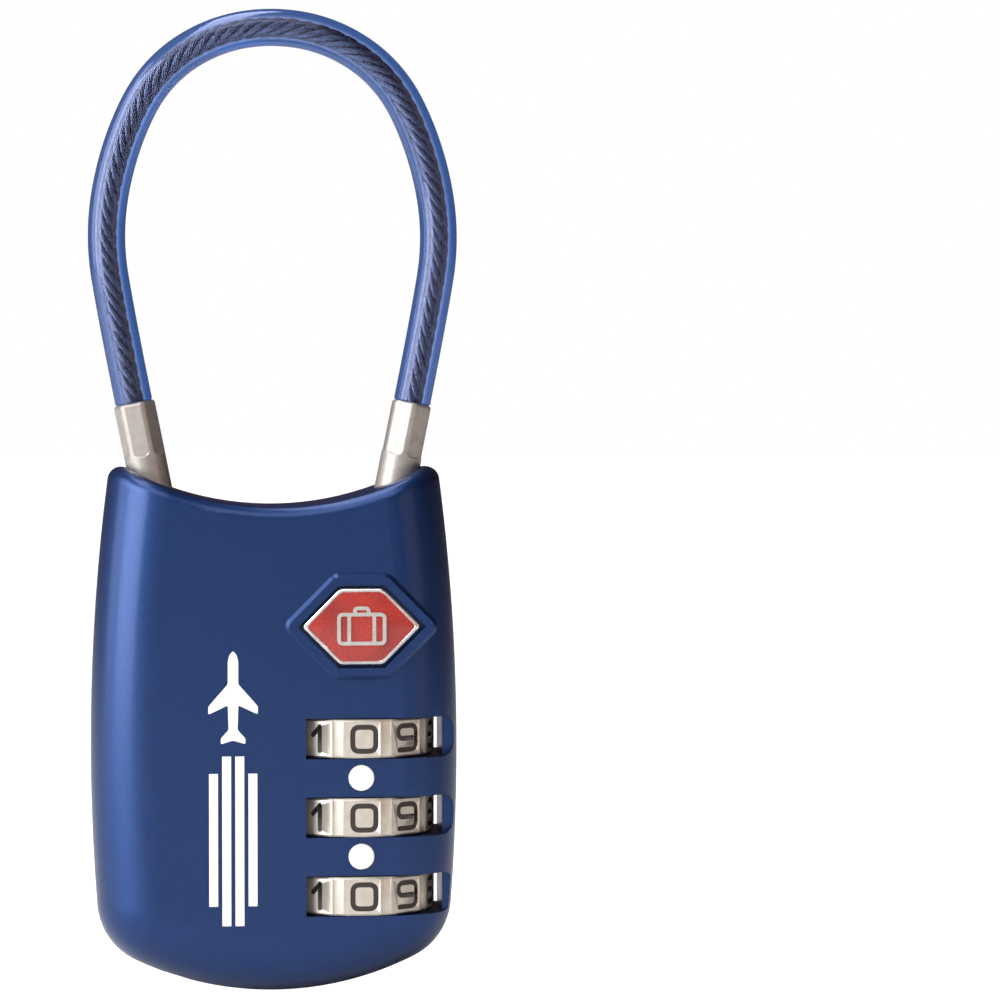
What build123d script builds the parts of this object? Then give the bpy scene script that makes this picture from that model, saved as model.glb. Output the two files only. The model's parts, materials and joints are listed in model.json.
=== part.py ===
from build123d import *
import math
import os

# Cable luggage lock, millimetres.
# Origin: lowest point of the case, on its centre line and its parting plane.
# +X to the right of the dial side, -Y out of the front, +Z up towards the cable loop.

# ---------------------------------------------------------------- driving dimensions

CASE_HALF_WIDTH = 15.0      # at the widest height
CASE_HALF_DEPTH = 5.6
SIDE_RADIUS = 170.0         # bulge of the long sides
WIDEST_Z = 20.0
BOTTOM_RADIUS = 26.0
BOTTOM_CORNER = 5.5
LIP_RADIUS = 25.0           # hollow top edge between the two horns
LIP_LOW_Z = 39.8
EDGE_ROUND = 4.9            # big rounding of sides and bottom
LIP_ROUND = 1.1

DIAL_X = 6.8
DIAL_Z = (21.0, 14.6, 8.2)  # dial 1 is the top one
DIAL_HEIGHT = 3.1
DIAL_RADIUS = 6.4
DIAL_FLAT_RADIUS = 6.18     # to the middle of each numbered flat
NUMBER_COUNT = 10
GROOVE_WIDTH = 0.9
GROOVE_FLOOR_RADIUS = 6.2
DIAL_GAP = 0.1              # above and below each dial
POCKET_RADIUS = 6.75
WINDOW_LEFT_X = 2.3
WINDOW_RIGHT_X = 14.6
WINDOW_CORNER = 1.1
SIDE_BAR_X = 13.65          # inner face of the bar that closes the windows at the side
SIDE_BAR_HALF_DEPTH = 2.4
DOT_RADIUS = 1.05
DOT_THICKNESS = 0.6
DOT_GAP = 0.06
DIAL_BEVEL = 0.15
SPLINE_LENGTH = 0.9
SPLINE_PLAY = 0.1           # round the cam's hub, and half of it beside each lug
DETENT_WIDTH = 2.0
DETENT_THICKNESS = 0.18
DETENT_STRIP = ((-0.48, -2.9), (-0.3, -1.6), (0.4, 0), (-0.3, 1.6), (-0.48, 2.9))
DETENT_ROOM_X = (-0.6, 1.0)
DETENT_ROOM_WIDTH = 6.6
DETENT_ROOM_HEIGHT = 2.6

BADGE_X = 6.8
BADGE_Z = 30.1
BADGE_WIDTH = 9.7
BADGE_HEIGHT = 6.2
BADGE_FLAT = 3.55           # length of its flat top and bottom edges
BADGE_GAP = 0.25
FRAME_BORDER = 1.2          # from the plate's edge to the frame's edge
FRAME_RISE = 0.4
FRAME_ROOT = 5.0            # how far the frame is drawn back into the case
FRAME_CORNER = 0.9
FRAME_CHAMFER = 0.3
BADGE_FLOOR_Y = -4.8
BADGE_THICKNESS = 1.05
BADGE_SEAT_DEPTH = 3.0      # cut from the floor out through the frame
BADGE_RIM = 0.42            # metal left bare around the enamel
ENAMEL_THICKNESS = 0.3

FERRULE_RADIUS = 1.69
FERRULE_FLATS = 3.06        # across the crimped flats
CRIMP_LENGTH = 4.2
FERRULE_LIP_X = 10.1        # where its axis crosses the height of the lip
FERRULE_LIP_Z = 41.6
FERRULE_TAIL = 11.0         # hidden in the case
FERRULE_TAIL_CHAMFER = 0.5
SOCKET_DEPTH = 11.4         # below the lip
SOCKET_PAST_LIP = 5.0       # how far the socket is cut past the lip
SOCKET_CLEARANCE = 0.05
CORE_DEPTH = 6.0            # rope inside the ferrule

CABLE_RADIUS = 1.525
CORE_RADIUS = 0.84
CORE_BORE_RADIUS = 0.86
# Right half of the cable's route, from the ferrule's top to the crown (x, z)
HALF_ROUTE = [
    (11.40, 48.20),
    (12.76, 55.00),
    (13.90, 62.00),
    (12.60, 69.10),
    (9.50, 75.40),
    (3.60, 78.90),
]

SPINDLE_RADIUS = 1.3
SPINDLE_FOOT_Z = 2.4
SPINDLE_TOP_Z = 26.0
SPINDLE_SEAT_Z = 2.2        # floor that the spindle's foot comes to
SPINDLE_CHAMFER = 0.3
COLLAR_RADIUS = 2.4
COLLAR_TOP_Z = 5.05
COLLAR_HEIGHT = 1.15
RESET_HOLE_RADIUS = 1.1
BELOW_CASE_Z = -1.0         # where the bottom openings are cut from
CAM_BORE_RADIUS = 1.35
CAM_HUB_RADIUS = 2.9
CAM_GATE_RADIUS = 2.6
CAM_SLEEVE_RADIUS = 1.9
CAM_LUG_RADIUS = 3.5
CAM_LUG_WIDTH = 0.7
CAM_BELOW = 3.05            # cam's lower end below the dial's middle
CAM_ABOVE = 3.25
HUB_BELOW = 1.35
HUB_ABOVE = -0.05
GATE_DEPTH = 1.0
GATE_WIDTH = 1.5
CAM_ROOM_RADIUS = 2.8
CAM_ROOM_FLOOR_Z = 3.6
RESET_CEILING_Z = 27.6
RESET_SPRING_Z = (24.3, 27.55)
RESET_SPRING_RADIUS = 1.85  # to the middle of the wire
RESET_SPRING_WIRE = 0.17
RESET_SPRING_PITCH = 0.85

PLUG_X = -8.0
PLUG_RADIUS = 2.6
PLUG_FACE_Z = 3.2
PLUG_TOP_Z = 17.6
BARREL_RADIUS = 3.5
BARREL_PLAY = 0.02
BARREL_Z = (3.9, 16.5)
PIN_OFFSET = 0.9            # eccentric pin on the plug's top
PIN_RADIUS = 0.6
PIN_TOP_Z = 20.0
WAFER_Z = (5.0, 7.6, 10.2, 12.8)
WAFER_THICKNESS = 0.7
WAFER_LENGTH = 4.6
WAFER_WIDTH = 2.2
KEYWAY_LENGTH = 3.4
KEYWAY_WIDTH = 0.8
KEYWAY_DEPTH = 11.8
KEYWAY_JOG = (0.5, 0.35)    # its side groove, from the plug's centre
KEYWAY_JOG_LENGTH = 0.8
PLUG_SEAT_Z = 3.0
PLUG_SEAT_GAP = 0.15
KEY_OPENING_RADIUS = 1.9
PLUG_CLIP_Z = (16.6, 17.1)
PLUG_CLIP_INNER = 2.15
PLUG_CLIP_OUTER = 3.3
PLUG_CLIP_MOUTH = 2.4
PLUG_CLIP_PLAY = 0.05
WAFER_RIM = (0.6, 0.45)     # left round each wafer's opening
WAFER_PLAY = 0.05

PLATE_THICKNESS = 1.0
PLATE_ROOM_WIDTH = 1.4
PLATE_BAR_X = (-3.0, -1.5)
PLATE_ROOM_X = (-4.2, -1.2)
PLATE_ROOM_Z = (4.7, 35.0)
PLATE_BAR_Z = (5.2, 34.5)
TOOTH_TIP_X = 3.9
TOOTH_BELOW = (2.85, 1.95)  # below the dial's middle
TOOTH_ROOM_X = (-1.6, 4.4)
TOOTH_ROOM_BELOW = (3.0, 1.8)
TAB_Z = (18.3, 19.3)
TAB_ROOM_X = (-10.4, -2.8)
TAB_ROOM_Z = (18.0, 20.4)
TAB_ROOM_WIDTH = 6.0
ARM_Z = (33.5, 34.5)
ARM_ROOM_X = (-4.2, 4.8)
ARM_ROOM_Z = (33.0, 35.0)
YOKE_X = (4.8, 9.2)
YOKE_BACK = 1.0
YOKE_OVERLAP = 0.4
YOKE_HALF_WIDTH = 2.9
YOKE_ROOM_X = (3.2, 13.0)
YOKE_ROOM_Z = (32.7, 35.3)
YOKE_ROOM_WIDTH = 6.4
PRONG_THICKNESS = 0.8
TAB_LEFT_X = -9.0
TAB_HALF_WIDTH = 2.6
TAB_SLOT_PLAY = 0.27
PLATE_SPRING_X = (-6.75, -3.05)
PLATE_SPRING_Z = 28.0
PLATE_SPRING_RADIUS = 0.85  # to the middle of the wire
PLATE_SPRING_WIRE = 0.12
PLATE_SPRING_PITCH = 0.7
PLATE_SPRING_PLAY = 0.35

CLIP_WIRE_RADIUS = 0.35
CLIP_LEG_Y = 1.55
CLIP_LEG_START = -2.4
CLIP_BEND_X = 2.2
CLIP_HEIGHT_Z = 34.0        # where the ferrule's axis passes through the clip
CLIP_GROOVE_RADIUS = 1.15
CLIP_GROOVE_WIDTH = 1.0

FERRULE_PIN_RADIUS = 0.6
FERRULE_PIN_BELOW_CLIP = 1.4
HOUSING_PIN_RADIUS = 0.8
HOUSING_PIN_REACH = 3.0
HOUSING_PINS = ((-12.4, 27.0), (12.4, 27.2), (0.2, 3.8), (0.0, 37.4))

# ---------------------------------------------------------------- shared geometry

# Direction of the right-hand ferrule's axis, pointing up out of the case
run_x = HALF_ROUTE[1][0] - HALF_ROUTE[0][0]
run_z = HALF_ROUTE[1][1] - HALF_ROUTE[0][1]
FERRULE_AXIS = Vector(run_x, 0, run_z).normalized()
FERRULE_TOP = Vector(HALF_ROUTE[0][0], 0, HALF_ROUTE[0][1])
FERRULE_TOP_ALONG = (FERRULE_TOP.Z - FERRULE_LIP_Z) / FERRULE_AXIS.Z
FERRULE_ORIGIN = FERRULE_TOP - FERRULE_AXIS * FERRULE_TOP_ALONG
CLIP_ALONG = (CLIP_HEIGHT_Z - FERRULE_ORIGIN.Z) / FERRULE_AXIS.Z
FERRULE_PIN_CENTRE = FERRULE_ORIGIN + FERRULE_AXIS * (CLIP_ALONG - FERRULE_PIN_BELOW_CLIP)
FERRULE_PIN_AT = (-FERRULE_PIN_CENTRE.X, FERRULE_PIN_CENTRE.Z)


def ferrule_plane(along, side=1):
    """Plane square to a ferrule's axis; side 1 is the right-hand one, -1 the left-hand one."""
    centre = FERRULE_ORIGIN + FERRULE_AXIS * along
    return Plane(
        origin=(side * centre.X, 0, centre.Z),
        x_dir=(FERRULE_AXIS.Z, 0, -side * FERRULE_AXIS.X),
        z_dir=(side * FERRULE_AXIS.X, 0, FERRULE_AXIS.Z),
    )


def block(x, width, z, mode=Mode.ADD):
    """Box astride the parting plane, between two x and two z values."""
    with Locations((sum(x) / 2, 0, sum(z) / 2)):
        Box(x[1] - x[0], width, z[1] - z[0], mode=mode)


def badge_outline(border):
    """Corner points of the six-sided badge, grown outwards by a border."""
    half_w = BADGE_WIDTH / 2
    half_h = BADGE_HEIGHT / 2
    half_f = BADGE_FLAT / 2
    slant = math.hypot(half_w - half_f, half_h)
    tip = half_w + border * slant / half_h
    top = half_h + border
    shoulder = tip - top * (half_w - half_f) / half_h
    return [(tip, 0), (shoulder, top), (-shoulder, top), (-tip, 0), (-shoulder, -top), (shoulder, -top)]


def route(points):
    """The cable's points as a list of vectors, right end first, left end last."""
    right = [Vector(x, 0, z) for x, z in points]
    left = [Vector(-x, 0, z) for x, z in reversed(points)]
    return right + left


def bend_radii(points):
    """Largest tangent arc at each corner: 0.45 of the shorter run over the tangent of half the turn."""
    radii = []
    for before, corner, after in zip(points, points[1:], points[2:]):
        run_in = corner - before
        run_out = after - corner
        half_turn = math.radians(run_in.get_angle(run_out)) / 2
        radii.append(0.45 * min(run_in.length, run_out.length) / math.tan(half_turn))
    return radii


os.makedirs("parts", exist_ok=True)

# ---------------------------------------------------------------- case, before it is hollowed

with BuildPart() as case_blank:
    with BuildSketch(Plane.XZ) as case_outline:
        with Locations((0, BOTTOM_RADIUS)):
            Circle(BOTTOM_RADIUS)
        for side in (-1, 1):
            with Locations((side * (CASE_HALF_WIDTH - SIDE_RADIUS), WIDEST_Z)):
                Circle(SIDE_RADIUS, mode=Mode.INTERSECT)
        with Locations((0, LIP_LOW_Z + LIP_RADIUS)):
            Circle(LIP_RADIUS, mode=Mode.SUBTRACT)
        fillet(case_outline.vertices().group_by(Axis.Y)[0], BOTTOM_CORNER)
    extrude(amount=CASE_HALF_DEPTH, both=True)
    rims = case_blank.faces().filter_by(Axis.Y).edges()
    fillet(rims.filter_by(lambda e: abs(e.radius - LIP_RADIUS) > 0.01), EDGE_ROUND)
    lip_face = case_blank.faces().filter_by(GeomType.CYLINDER).sort_by(
        lambda f: abs(f.radius - LIP_RADIUS))[0]
    fillet(lip_face.edges(), LIP_ROUND)
    # raised six-sided frame around the badge
    with BuildSketch(Plane.XZ.offset(CASE_HALF_DEPTH + FRAME_RISE)) as frame_outline:
        with Locations((BADGE_X, BADGE_Z)):
            Polygon(*badge_outline(FRAME_BORDER), align=None)
        fillet(frame_outline.vertices(), FRAME_CORNER)
    extrude(amount=-FRAME_ROOT)
    chamfer(case_blank.faces().sort_by(Axis.Y)[0].edges(), FRAME_CHAMFER)

# ---------------------------------------------------------------- room for the mechanism

with BuildPart() as case_room:
    # a pocket and a front and a rear window for each dial
    for z in DIAL_Z:
        half = DIAL_HEIGHT / 2 + DIAL_GAP
        with BuildSketch(Plane.XY.offset(z - half)):
            with Locations((DIAL_X, 0)):
                Circle(POCKET_RADIUS)
            with Locations(((DIAL_X + SIDE_BAR_X) / 2, 0)):
                Rectangle(SIDE_BAR_X - DIAL_X, 2 * SIDE_BAR_HALF_DEPTH)
        extrude(amount=2 * half)
        for way in (-1, 1):
            with BuildSketch(Plane.XZ.offset(way * SIDE_BAR_HALF_DEPTH)) as window:
                with Locations(((WINDOW_LEFT_X + WINDOW_RIGHT_X) / 2, z)):
                    Rectangle(WINDOW_RIGHT_X - WINDOW_LEFT_X, 2 * half)
                fillet(window.vertices().group_by(Axis.X)[-1], WINDOW_CORNER)
            extrude(amount=way * CASE_HALF_DEPTH)
        block(DETENT_ROOM_X, DETENT_ROOM_WIDTH, (z - DETENT_ROOM_HEIGHT / 2, z + DETENT_ROOM_HEIGHT / 2))
    # well of the cams, the spindle's collar and the reset spring
    with BuildSketch(Plane.XY.offset(CAM_ROOM_FLOOR_Z)):
        with Locations((DIAL_X, 0)):
            Circle(CAM_ROOM_RADIUS)
    extrude(amount=RESET_CEILING_Z - CAM_ROOM_FLOOR_Z)
    with BuildSketch(Plane.XY.offset(SPINDLE_SEAT_Z)):
        with Locations((DIAL_X, 0)):
            Circle(SPINDLE_RADIUS + SOCKET_CLEARANCE)
    extrude(amount=CAM_ROOM_FLOOR_Z - SPINDLE_SEAT_Z)
    with BuildSketch(Plane.XY.offset(BELOW_CASE_Z)):
        with Locations((DIAL_X, 0)):
            Circle(RESET_HOLE_RADIUS)
    extrude(amount=SPINDLE_SEAT_Z - BELOW_CASE_Z)
    # bore of the plug barrel, with room for the retaining ring, seat of the plug and opening for the key
    with BuildSketch(Plane.XY.offset(BARREL_Z[0])):
        with Locations((PLUG_X, 0)):
            Circle(BARREL_RADIUS)
    extrude(amount=TAB_ROOM_Z[0] - BARREL_Z[0])
    with BuildSketch(Plane.XY.offset(PLUG_SEAT_Z)):
        with Locations((PLUG_X, 0)):
            Circle(PLUG_RADIUS + PLUG_SEAT_GAP)
    extrude(amount=BARREL_Z[0] - PLUG_SEAT_Z)
    with BuildSketch(Plane.XY.offset(BELOW_CASE_Z)):
        with Locations((PLUG_X, 0)):
            Circle(KEY_OPENING_RADIUS)
    extrude(amount=PLUG_SEAT_Z - BELOW_CASE_Z)
    # channel of the locking plate: bar, teeth, tab, arm and yoke
    block(PLATE_ROOM_X, PLATE_ROOM_WIDTH, PLATE_ROOM_Z)
    for z in DIAL_Z:
        block(TOOTH_ROOM_X, PLATE_ROOM_WIDTH, (z - TOOTH_ROOM_BELOW[0], z - TOOTH_ROOM_BELOW[1]))
    block(TAB_ROOM_X, TAB_ROOM_WIDTH, TAB_ROOM_Z)
    block(ARM_ROOM_X, PLATE_ROOM_WIDTH, ARM_ROOM_Z)
    block(YOKE_ROOM_X, YOKE_ROOM_WIDTH, YOKE_ROOM_Z)
    # pocket of the plate spring
    with BuildSketch(Plane.YZ.offset(PLATE_SPRING_X[0] - SOCKET_CLEARANCE)):
        with Locations((0, PLATE_SPRING_Z)):
            Circle(PLATE_SPRING_RADIUS + PLATE_SPRING_PLAY)
    extrude(amount=PLATE_SPRING_X[1] - PLATE_SPRING_X[0] + SOCKET_CLEARANCE)
    # sockets of the two ferrules
    for side in (-1, 1):
        with BuildSketch(ferrule_plane(-SOCKET_DEPTH, side)):
            Circle(FERRULE_RADIUS + SOCKET_CLEARANCE)
        extrude(amount=SOCKET_DEPTH + SOCKET_PAST_LIP)
    # seat of the badge plate
    with BuildSketch(Plane.XZ.offset(-BADGE_FLOOR_Y)):
        with Locations((BADGE_X, BADGE_Z)):
            Polygon(*badge_outline(BADGE_GAP), align=None)
    extrude(amount=BADGE_SEAT_DEPTH)
    # seats of the index dots
    with BuildSketch(Plane.XZ.offset(CASE_HALF_DEPTH - DOT_THICKNESS)):
        for upper, lower in zip(DIAL_Z, DIAL_Z[1:]):
            with Locations((DIAL_X, (upper + lower) / 2)):
                Circle(DOT_RADIUS + DOT_GAP)
    extrude(amount=2 * DOT_THICKNESS)
    # holes of the press pins and of the cross pin
    with BuildSketch(Plane.XZ.offset(-HOUSING_PIN_REACH)):
        with Locations(*HOUSING_PINS):
            Circle(HOUSING_PIN_RADIUS)
        with Locations(FERRULE_PIN_AT):
            Circle(FERRULE_PIN_RADIUS)
    extrude(amount=2 * HOUSING_PIN_REACH)

# ---------------------------------------------------------------- the two housings

with BuildPart() as front_housing:
    add(case_blank.part)
    add(case_room.part, mode=Mode.SUBTRACT)
    split(bisect_by=Plane.XZ, keep=Keep.TOP)
front_housing.part.label = "front_housing"
export_step(front_housing.part, "parts/front_housing.step")

with BuildPart() as rear_housing:
    add(case_blank.part)
    add(case_room.part, mode=Mode.SUBTRACT)
    split(bisect_by=Plane.XZ, keep=Keep.BOTTOM)
rear_housing.part.label = "rear_housing"
export_step(rear_housing.part, "parts/rear_housing.step")

with BuildPart() as housing_pins:
    with BuildSketch(Plane.XZ.offset(-HOUSING_PIN_REACH)):
        with Locations(*HOUSING_PINS):
            Circle(HOUSING_PIN_RADIUS)
    extrude(amount=2 * HOUSING_PIN_REACH)
housing_pins.part.label = "housing_pins"
export_step(housing_pins.part, "parts/housing_pins.step")

# ---------------------------------------------------------------- badge and dots

with BuildPart() as badge_plate:
    with BuildSketch(Plane.XZ.offset(-BADGE_FLOOR_Y)):
        with Locations((BADGE_X, BADGE_Z)):
            Polygon(*badge_outline(0), align=None)
    extrude(amount=BADGE_THICKNESS)
    with BuildSketch(Plane.XZ.offset(-BADGE_FLOOR_Y + BADGE_THICKNESS - ENAMEL_THICKNESS)):
        with Locations((BADGE_X, BADGE_Z)):
            Polygon(*badge_outline(-BADGE_RIM), align=None)
    extrude(amount=ENAMEL_THICKNESS, mode=Mode.SUBTRACT)
badge_plate.part.label = "badge_plate"
export_step(badge_plate.part, "parts/badge_plate.step")

with BuildPart() as badge_enamel:
    with BuildSketch(Plane.XZ.offset(-BADGE_FLOOR_Y + BADGE_THICKNESS - ENAMEL_THICKNESS)):
        with Locations((BADGE_X, BADGE_Z)):
            Polygon(*badge_outline(-BADGE_RIM), align=None)
    extrude(amount=ENAMEL_THICKNESS)
badge_enamel.part.label = "badge_enamel"
export_step(badge_enamel.part, "parts/badge_enamel.step")

with BuildPart() as index_dots:
    with BuildSketch(Plane.XZ.offset(CASE_HALF_DEPTH - DOT_THICKNESS)):
        for upper, lower in zip(DIAL_Z, DIAL_Z[1:]):
            with Locations((DIAL_X, (upper + lower) / 2)):
                Circle(DOT_RADIUS)
    extrude(amount=DOT_THICKNESS)
index_dots.part.label = "index_dots"
export_step(index_dots.part, "parts/index_dots.step")

# ---------------------------------------------------------------- cable and its two ferrules

for side, name in ((-1, "fixed_ferrule"), (1, "free_ferrule")):
    with BuildPart() as ferrule:
        with BuildSketch(ferrule_plane(-FERRULE_TAIL, side)):
            Circle(FERRULE_RADIUS)
        extrude(amount=FERRULE_TAIL + FERRULE_TOP_ALONG - CRIMP_LENGTH)
        chamfer(ferrule.edges().sort_by(Axis.Z)[0], FERRULE_TAIL_CHAMFER)
        with BuildSketch(ferrule_plane(FERRULE_TOP_ALONG - CRIMP_LENGTH, side)):
            RegularPolygon(FERRULE_FLATS / 2, 6, major_radius=False)
            Circle(FERRULE_RADIUS, mode=Mode.INTERSECT)
        extrude(amount=CRIMP_LENGTH)
        with BuildSketch(ferrule_plane(FERRULE_TOP_ALONG, side)):
            Circle(CORE_BORE_RADIUS)
        extrude(amount=-CORE_DEPTH, mode=Mode.SUBTRACT)
        if name == "free_ferrule":
            # groove for the legs of the latch clip
            with BuildSketch(ferrule_plane(CLIP_ALONG - CLIP_GROOVE_WIDTH / 2, side)):
                Circle(2 * FERRULE_RADIUS)
                Circle(CLIP_GROOVE_RADIUS, mode=Mode.SUBTRACT)
            extrude(amount=CLIP_GROOVE_WIDTH, mode=Mode.SUBTRACT)
        else:
            with BuildSketch(Plane.XZ.offset(-HOUSING_PIN_REACH)):
                with Locations(FERRULE_PIN_AT):
                    Circle(FERRULE_PIN_RADIUS)
            extrude(amount=2 * HOUSING_PIN_REACH, mode=Mode.SUBTRACT)
    ferrule.part.label = name
    export_step(ferrule.part, f"parts/{name}.step")

with BuildPart() as ferrule_pin:
    with BuildSketch(Plane.XZ.offset(-HOUSING_PIN_REACH)):
        with Locations(FERRULE_PIN_AT):
            Circle(FERRULE_PIN_RADIUS)
    extrude(amount=2 * HOUSING_PIN_REACH)
ferrule_pin.part.label = "ferrule_pin"
export_step(ferrule_pin.part, "parts/ferrule_pin.step")

cable_points = route(HALF_ROUTE)
cable_radii = bend_radii(cable_points)
print("cable bend radii", [round(r, 1) for r in cable_radii])

with BuildPart() as cable_jacket:
    with BuildLine() as jacket_path:
        FilletPolyline(*cable_points, radius=cable_radii)
    with BuildSketch(ferrule_plane(FERRULE_TOP_ALONG)):
        Circle(CABLE_RADIUS)
        Circle(CORE_BORE_RADIUS, mode=Mode.SUBTRACT)
    sweep(path=jacket_path.wires()[0])
cable_jacket.part.label = "cable_jacket"
export_step(cable_jacket.part, "parts/cable_jacket.step")
jacket_length = jacket_path.wires()[0].length
jacket_section = math.pi * (CABLE_RADIUS**2 - CORE_BORE_RADIUS**2)
print("cable length", round(jacket_length, 2))
jacket_ratio = cable_jacket.part.volume / jacket_section / jacket_length
print("jacket volume over section times length", round(jacket_ratio, 4))

core_end = FERRULE_TOP - FERRULE_AXIS * CORE_DEPTH
core_points = route([(core_end.X, core_end.Z)] + HALF_ROUTE[1:])

with BuildPart() as cable_core:
    with BuildLine() as core_path:
        FilletPolyline(*core_points, radius=cable_radii)
    with BuildSketch(ferrule_plane(FERRULE_TOP_ALONG - CORE_DEPTH)):
        Circle(CORE_RADIUS)
    sweep(path=core_path.wires()[0])
cable_core.part.label = "cable_core"
export_step(cable_core.part, "parts/cable_core.step")
core_volume = math.pi * CORE_RADIUS**2 * core_path.wires()[0].length
print("core volume over section times length", round(cable_core.part.volume / core_volume, 4))

with BuildPart() as latch_clip:
    with BuildLine(ferrule_plane(CLIP_ALONG)) as clip_path:
        Line((CLIP_LEG_START, CLIP_LEG_Y), (CLIP_BEND_X, CLIP_LEG_Y))
        ThreePointArc((CLIP_BEND_X, CLIP_LEG_Y), (CLIP_BEND_X + CLIP_LEG_Y, 0), (CLIP_BEND_X, -CLIP_LEG_Y))
        Line((CLIP_BEND_X, -CLIP_LEG_Y), (CLIP_LEG_START, -CLIP_LEG_Y))
    clip_wire = clip_path.wires()[0]
    with BuildSketch(Plane(origin=clip_wire @ 0, z_dir=clip_wire % 0)):
        Circle(CLIP_WIRE_RADIUS)
    sweep(path=clip_wire)
latch_clip.part.label = "latch_clip"
export_step(latch_clip.part, "parts/latch_clip.step")

# ---------------------------------------------------------------- dials, cams and spindle

for number, z in enumerate(DIAL_Z, start=1):
    with BuildPart() as dial:
        with BuildSketch(Plane.XY.offset(z - DIAL_HEIGHT / 2)):
            with Locations((DIAL_X, 0)):
                RegularPolygon(DIAL_FLAT_RADIUS, NUMBER_COUNT, major_radius=False)
                Circle(DIAL_RADIUS, mode=Mode.INTERSECT)
                with PolarLocations(GROOVE_FLOOR_RADIUS + GROOVE_WIDTH / 2, NUMBER_COUNT):
                    Rectangle(GROOVE_WIDTH, GROOVE_WIDTH, mode=Mode.SUBTRACT)
        extrude(amount=DIAL_HEIGHT)
        top = dial.faces().sort_by(Axis.Z)[-1]
        bottom = dial.faces().sort_by(Axis.Z)[0]
        chamfer(top.edges() + bottom.edges(), DIAL_BEVEL)
        # the cam's hub turns with the dial in the splined lower half, and is free in the wider upper half
        with BuildSketch(Plane.XY.offset(z)):
            with Locations((DIAL_X, 0)):
                Circle(CAM_LUG_RADIUS + 2 * SPLINE_PLAY)
        extrude(amount=DIAL_HEIGHT / 2, mode=Mode.SUBTRACT)
        with BuildSketch(Plane.XY.offset(z - DIAL_HEIGHT / 2)):
            with Locations((DIAL_X, 0)):
                Circle(CAM_HUB_RADIUS + SPLINE_PLAY)
                with PolarLocations(CAM_LUG_RADIUS - SPLINE_LENGTH / 2 + 2 * SPLINE_PLAY, NUMBER_COUNT):
                    Rectangle(SPLINE_LENGTH, CAM_LUG_WIDTH + SPLINE_PLAY)
        extrude(amount=DIAL_HEIGHT / 2, mode=Mode.SUBTRACT)
    dial.part.label = f"dial_{number}"
    export_step(dial.part, f"parts/dial_{number}.step")

    with BuildPart() as cam:
        with BuildSketch(Plane.XY.offset(z - CAM_BELOW)):
            with Locations((DIAL_X, 0)):
                Circle(CAM_GATE_RADIUS)
            with Locations((DIAL_X - CAM_GATE_RADIUS, 0)):
                Rectangle(2 * GATE_DEPTH, GATE_WIDTH, mode=Mode.SUBTRACT)
        extrude(amount=CAM_BELOW - HUB_BELOW)
        with BuildSketch(Plane.XY.offset(z - HUB_BELOW)):
            with Locations((DIAL_X, 0)):
                Circle(CAM_HUB_RADIUS)
                Rectangle(2 * CAM_LUG_RADIUS, CAM_LUG_WIDTH)
        extrude(amount=HUB_BELOW + HUB_ABOVE)
        with BuildSketch(Plane.XY.offset(z + HUB_ABOVE)):
            with Locations((DIAL_X, 0)):
                Circle(CAM_SLEEVE_RADIUS)
        extrude(amount=CAM_ABOVE - HUB_ABOVE)
        with BuildSketch(Plane.XY.offset(z - CAM_BELOW)):
            with Locations((DIAL_X, 0)):
                Circle(CAM_BORE_RADIUS)
        extrude(amount=CAM_BELOW + CAM_ABOVE, mode=Mode.SUBTRACT)
    cam.part.label = f"cam_{number}"
    export_step(cam.part, f"parts/cam_{number}.step")

    with BuildPart() as detent_spring:
        with BuildSketch(Plane.XY.offset(z - DETENT_WIDTH / 2)):
            with BuildLine() as bent_strip:
                Polyline(*DETENT_STRIP)
            trace(line_width=DETENT_THICKNESS)
        extrude(amount=DETENT_WIDTH)
    detent_spring.part.label = f"detent_spring_{number}"
    export_step(detent_spring.part, f"parts/detent_spring_{number}.step")

with BuildPart() as spindle:
    with BuildSketch(Plane.XY.offset(SPINDLE_FOOT_Z)):
        with Locations((DIAL_X, 0)):
            Circle(SPINDLE_RADIUS)
    extrude(amount=SPINDLE_TOP_Z - SPINDLE_FOOT_Z)
    with BuildSketch(Plane.XY.offset(COLLAR_TOP_Z - COLLAR_HEIGHT)):
        with Locations((DIAL_X, 0)):
            Circle(COLLAR_RADIUS)
    extrude(amount=COLLAR_HEIGHT)
    chamfer(spindle.edges().sort_by(Axis.Z)[-1], SPINDLE_CHAMFER)
spindle.part.label = "spindle"
export_step(spindle.part, "parts/spindle.step")

with BuildPart() as reset_spring:
    with BuildLine():
        coil = Helix(
            pitch=RESET_SPRING_PITCH,
            height=RESET_SPRING_Z[1] - RESET_SPRING_Z[0] - 2 * RESET_SPRING_WIRE,
            radius=RESET_SPRING_RADIUS,
            center=(DIAL_X, 0, RESET_SPRING_Z[0] + RESET_SPRING_WIRE),
        )
    with BuildSketch(Plane(origin=coil @ 0, z_dir=coil % 0)):
        Circle(RESET_SPRING_WIRE)
    sweep()
reset_spring.part.label = "reset_spring"
export_step(reset_spring.part, "parts/reset_spring.step")

# ---------------------------------------------------------------- locking plate and its spring

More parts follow.
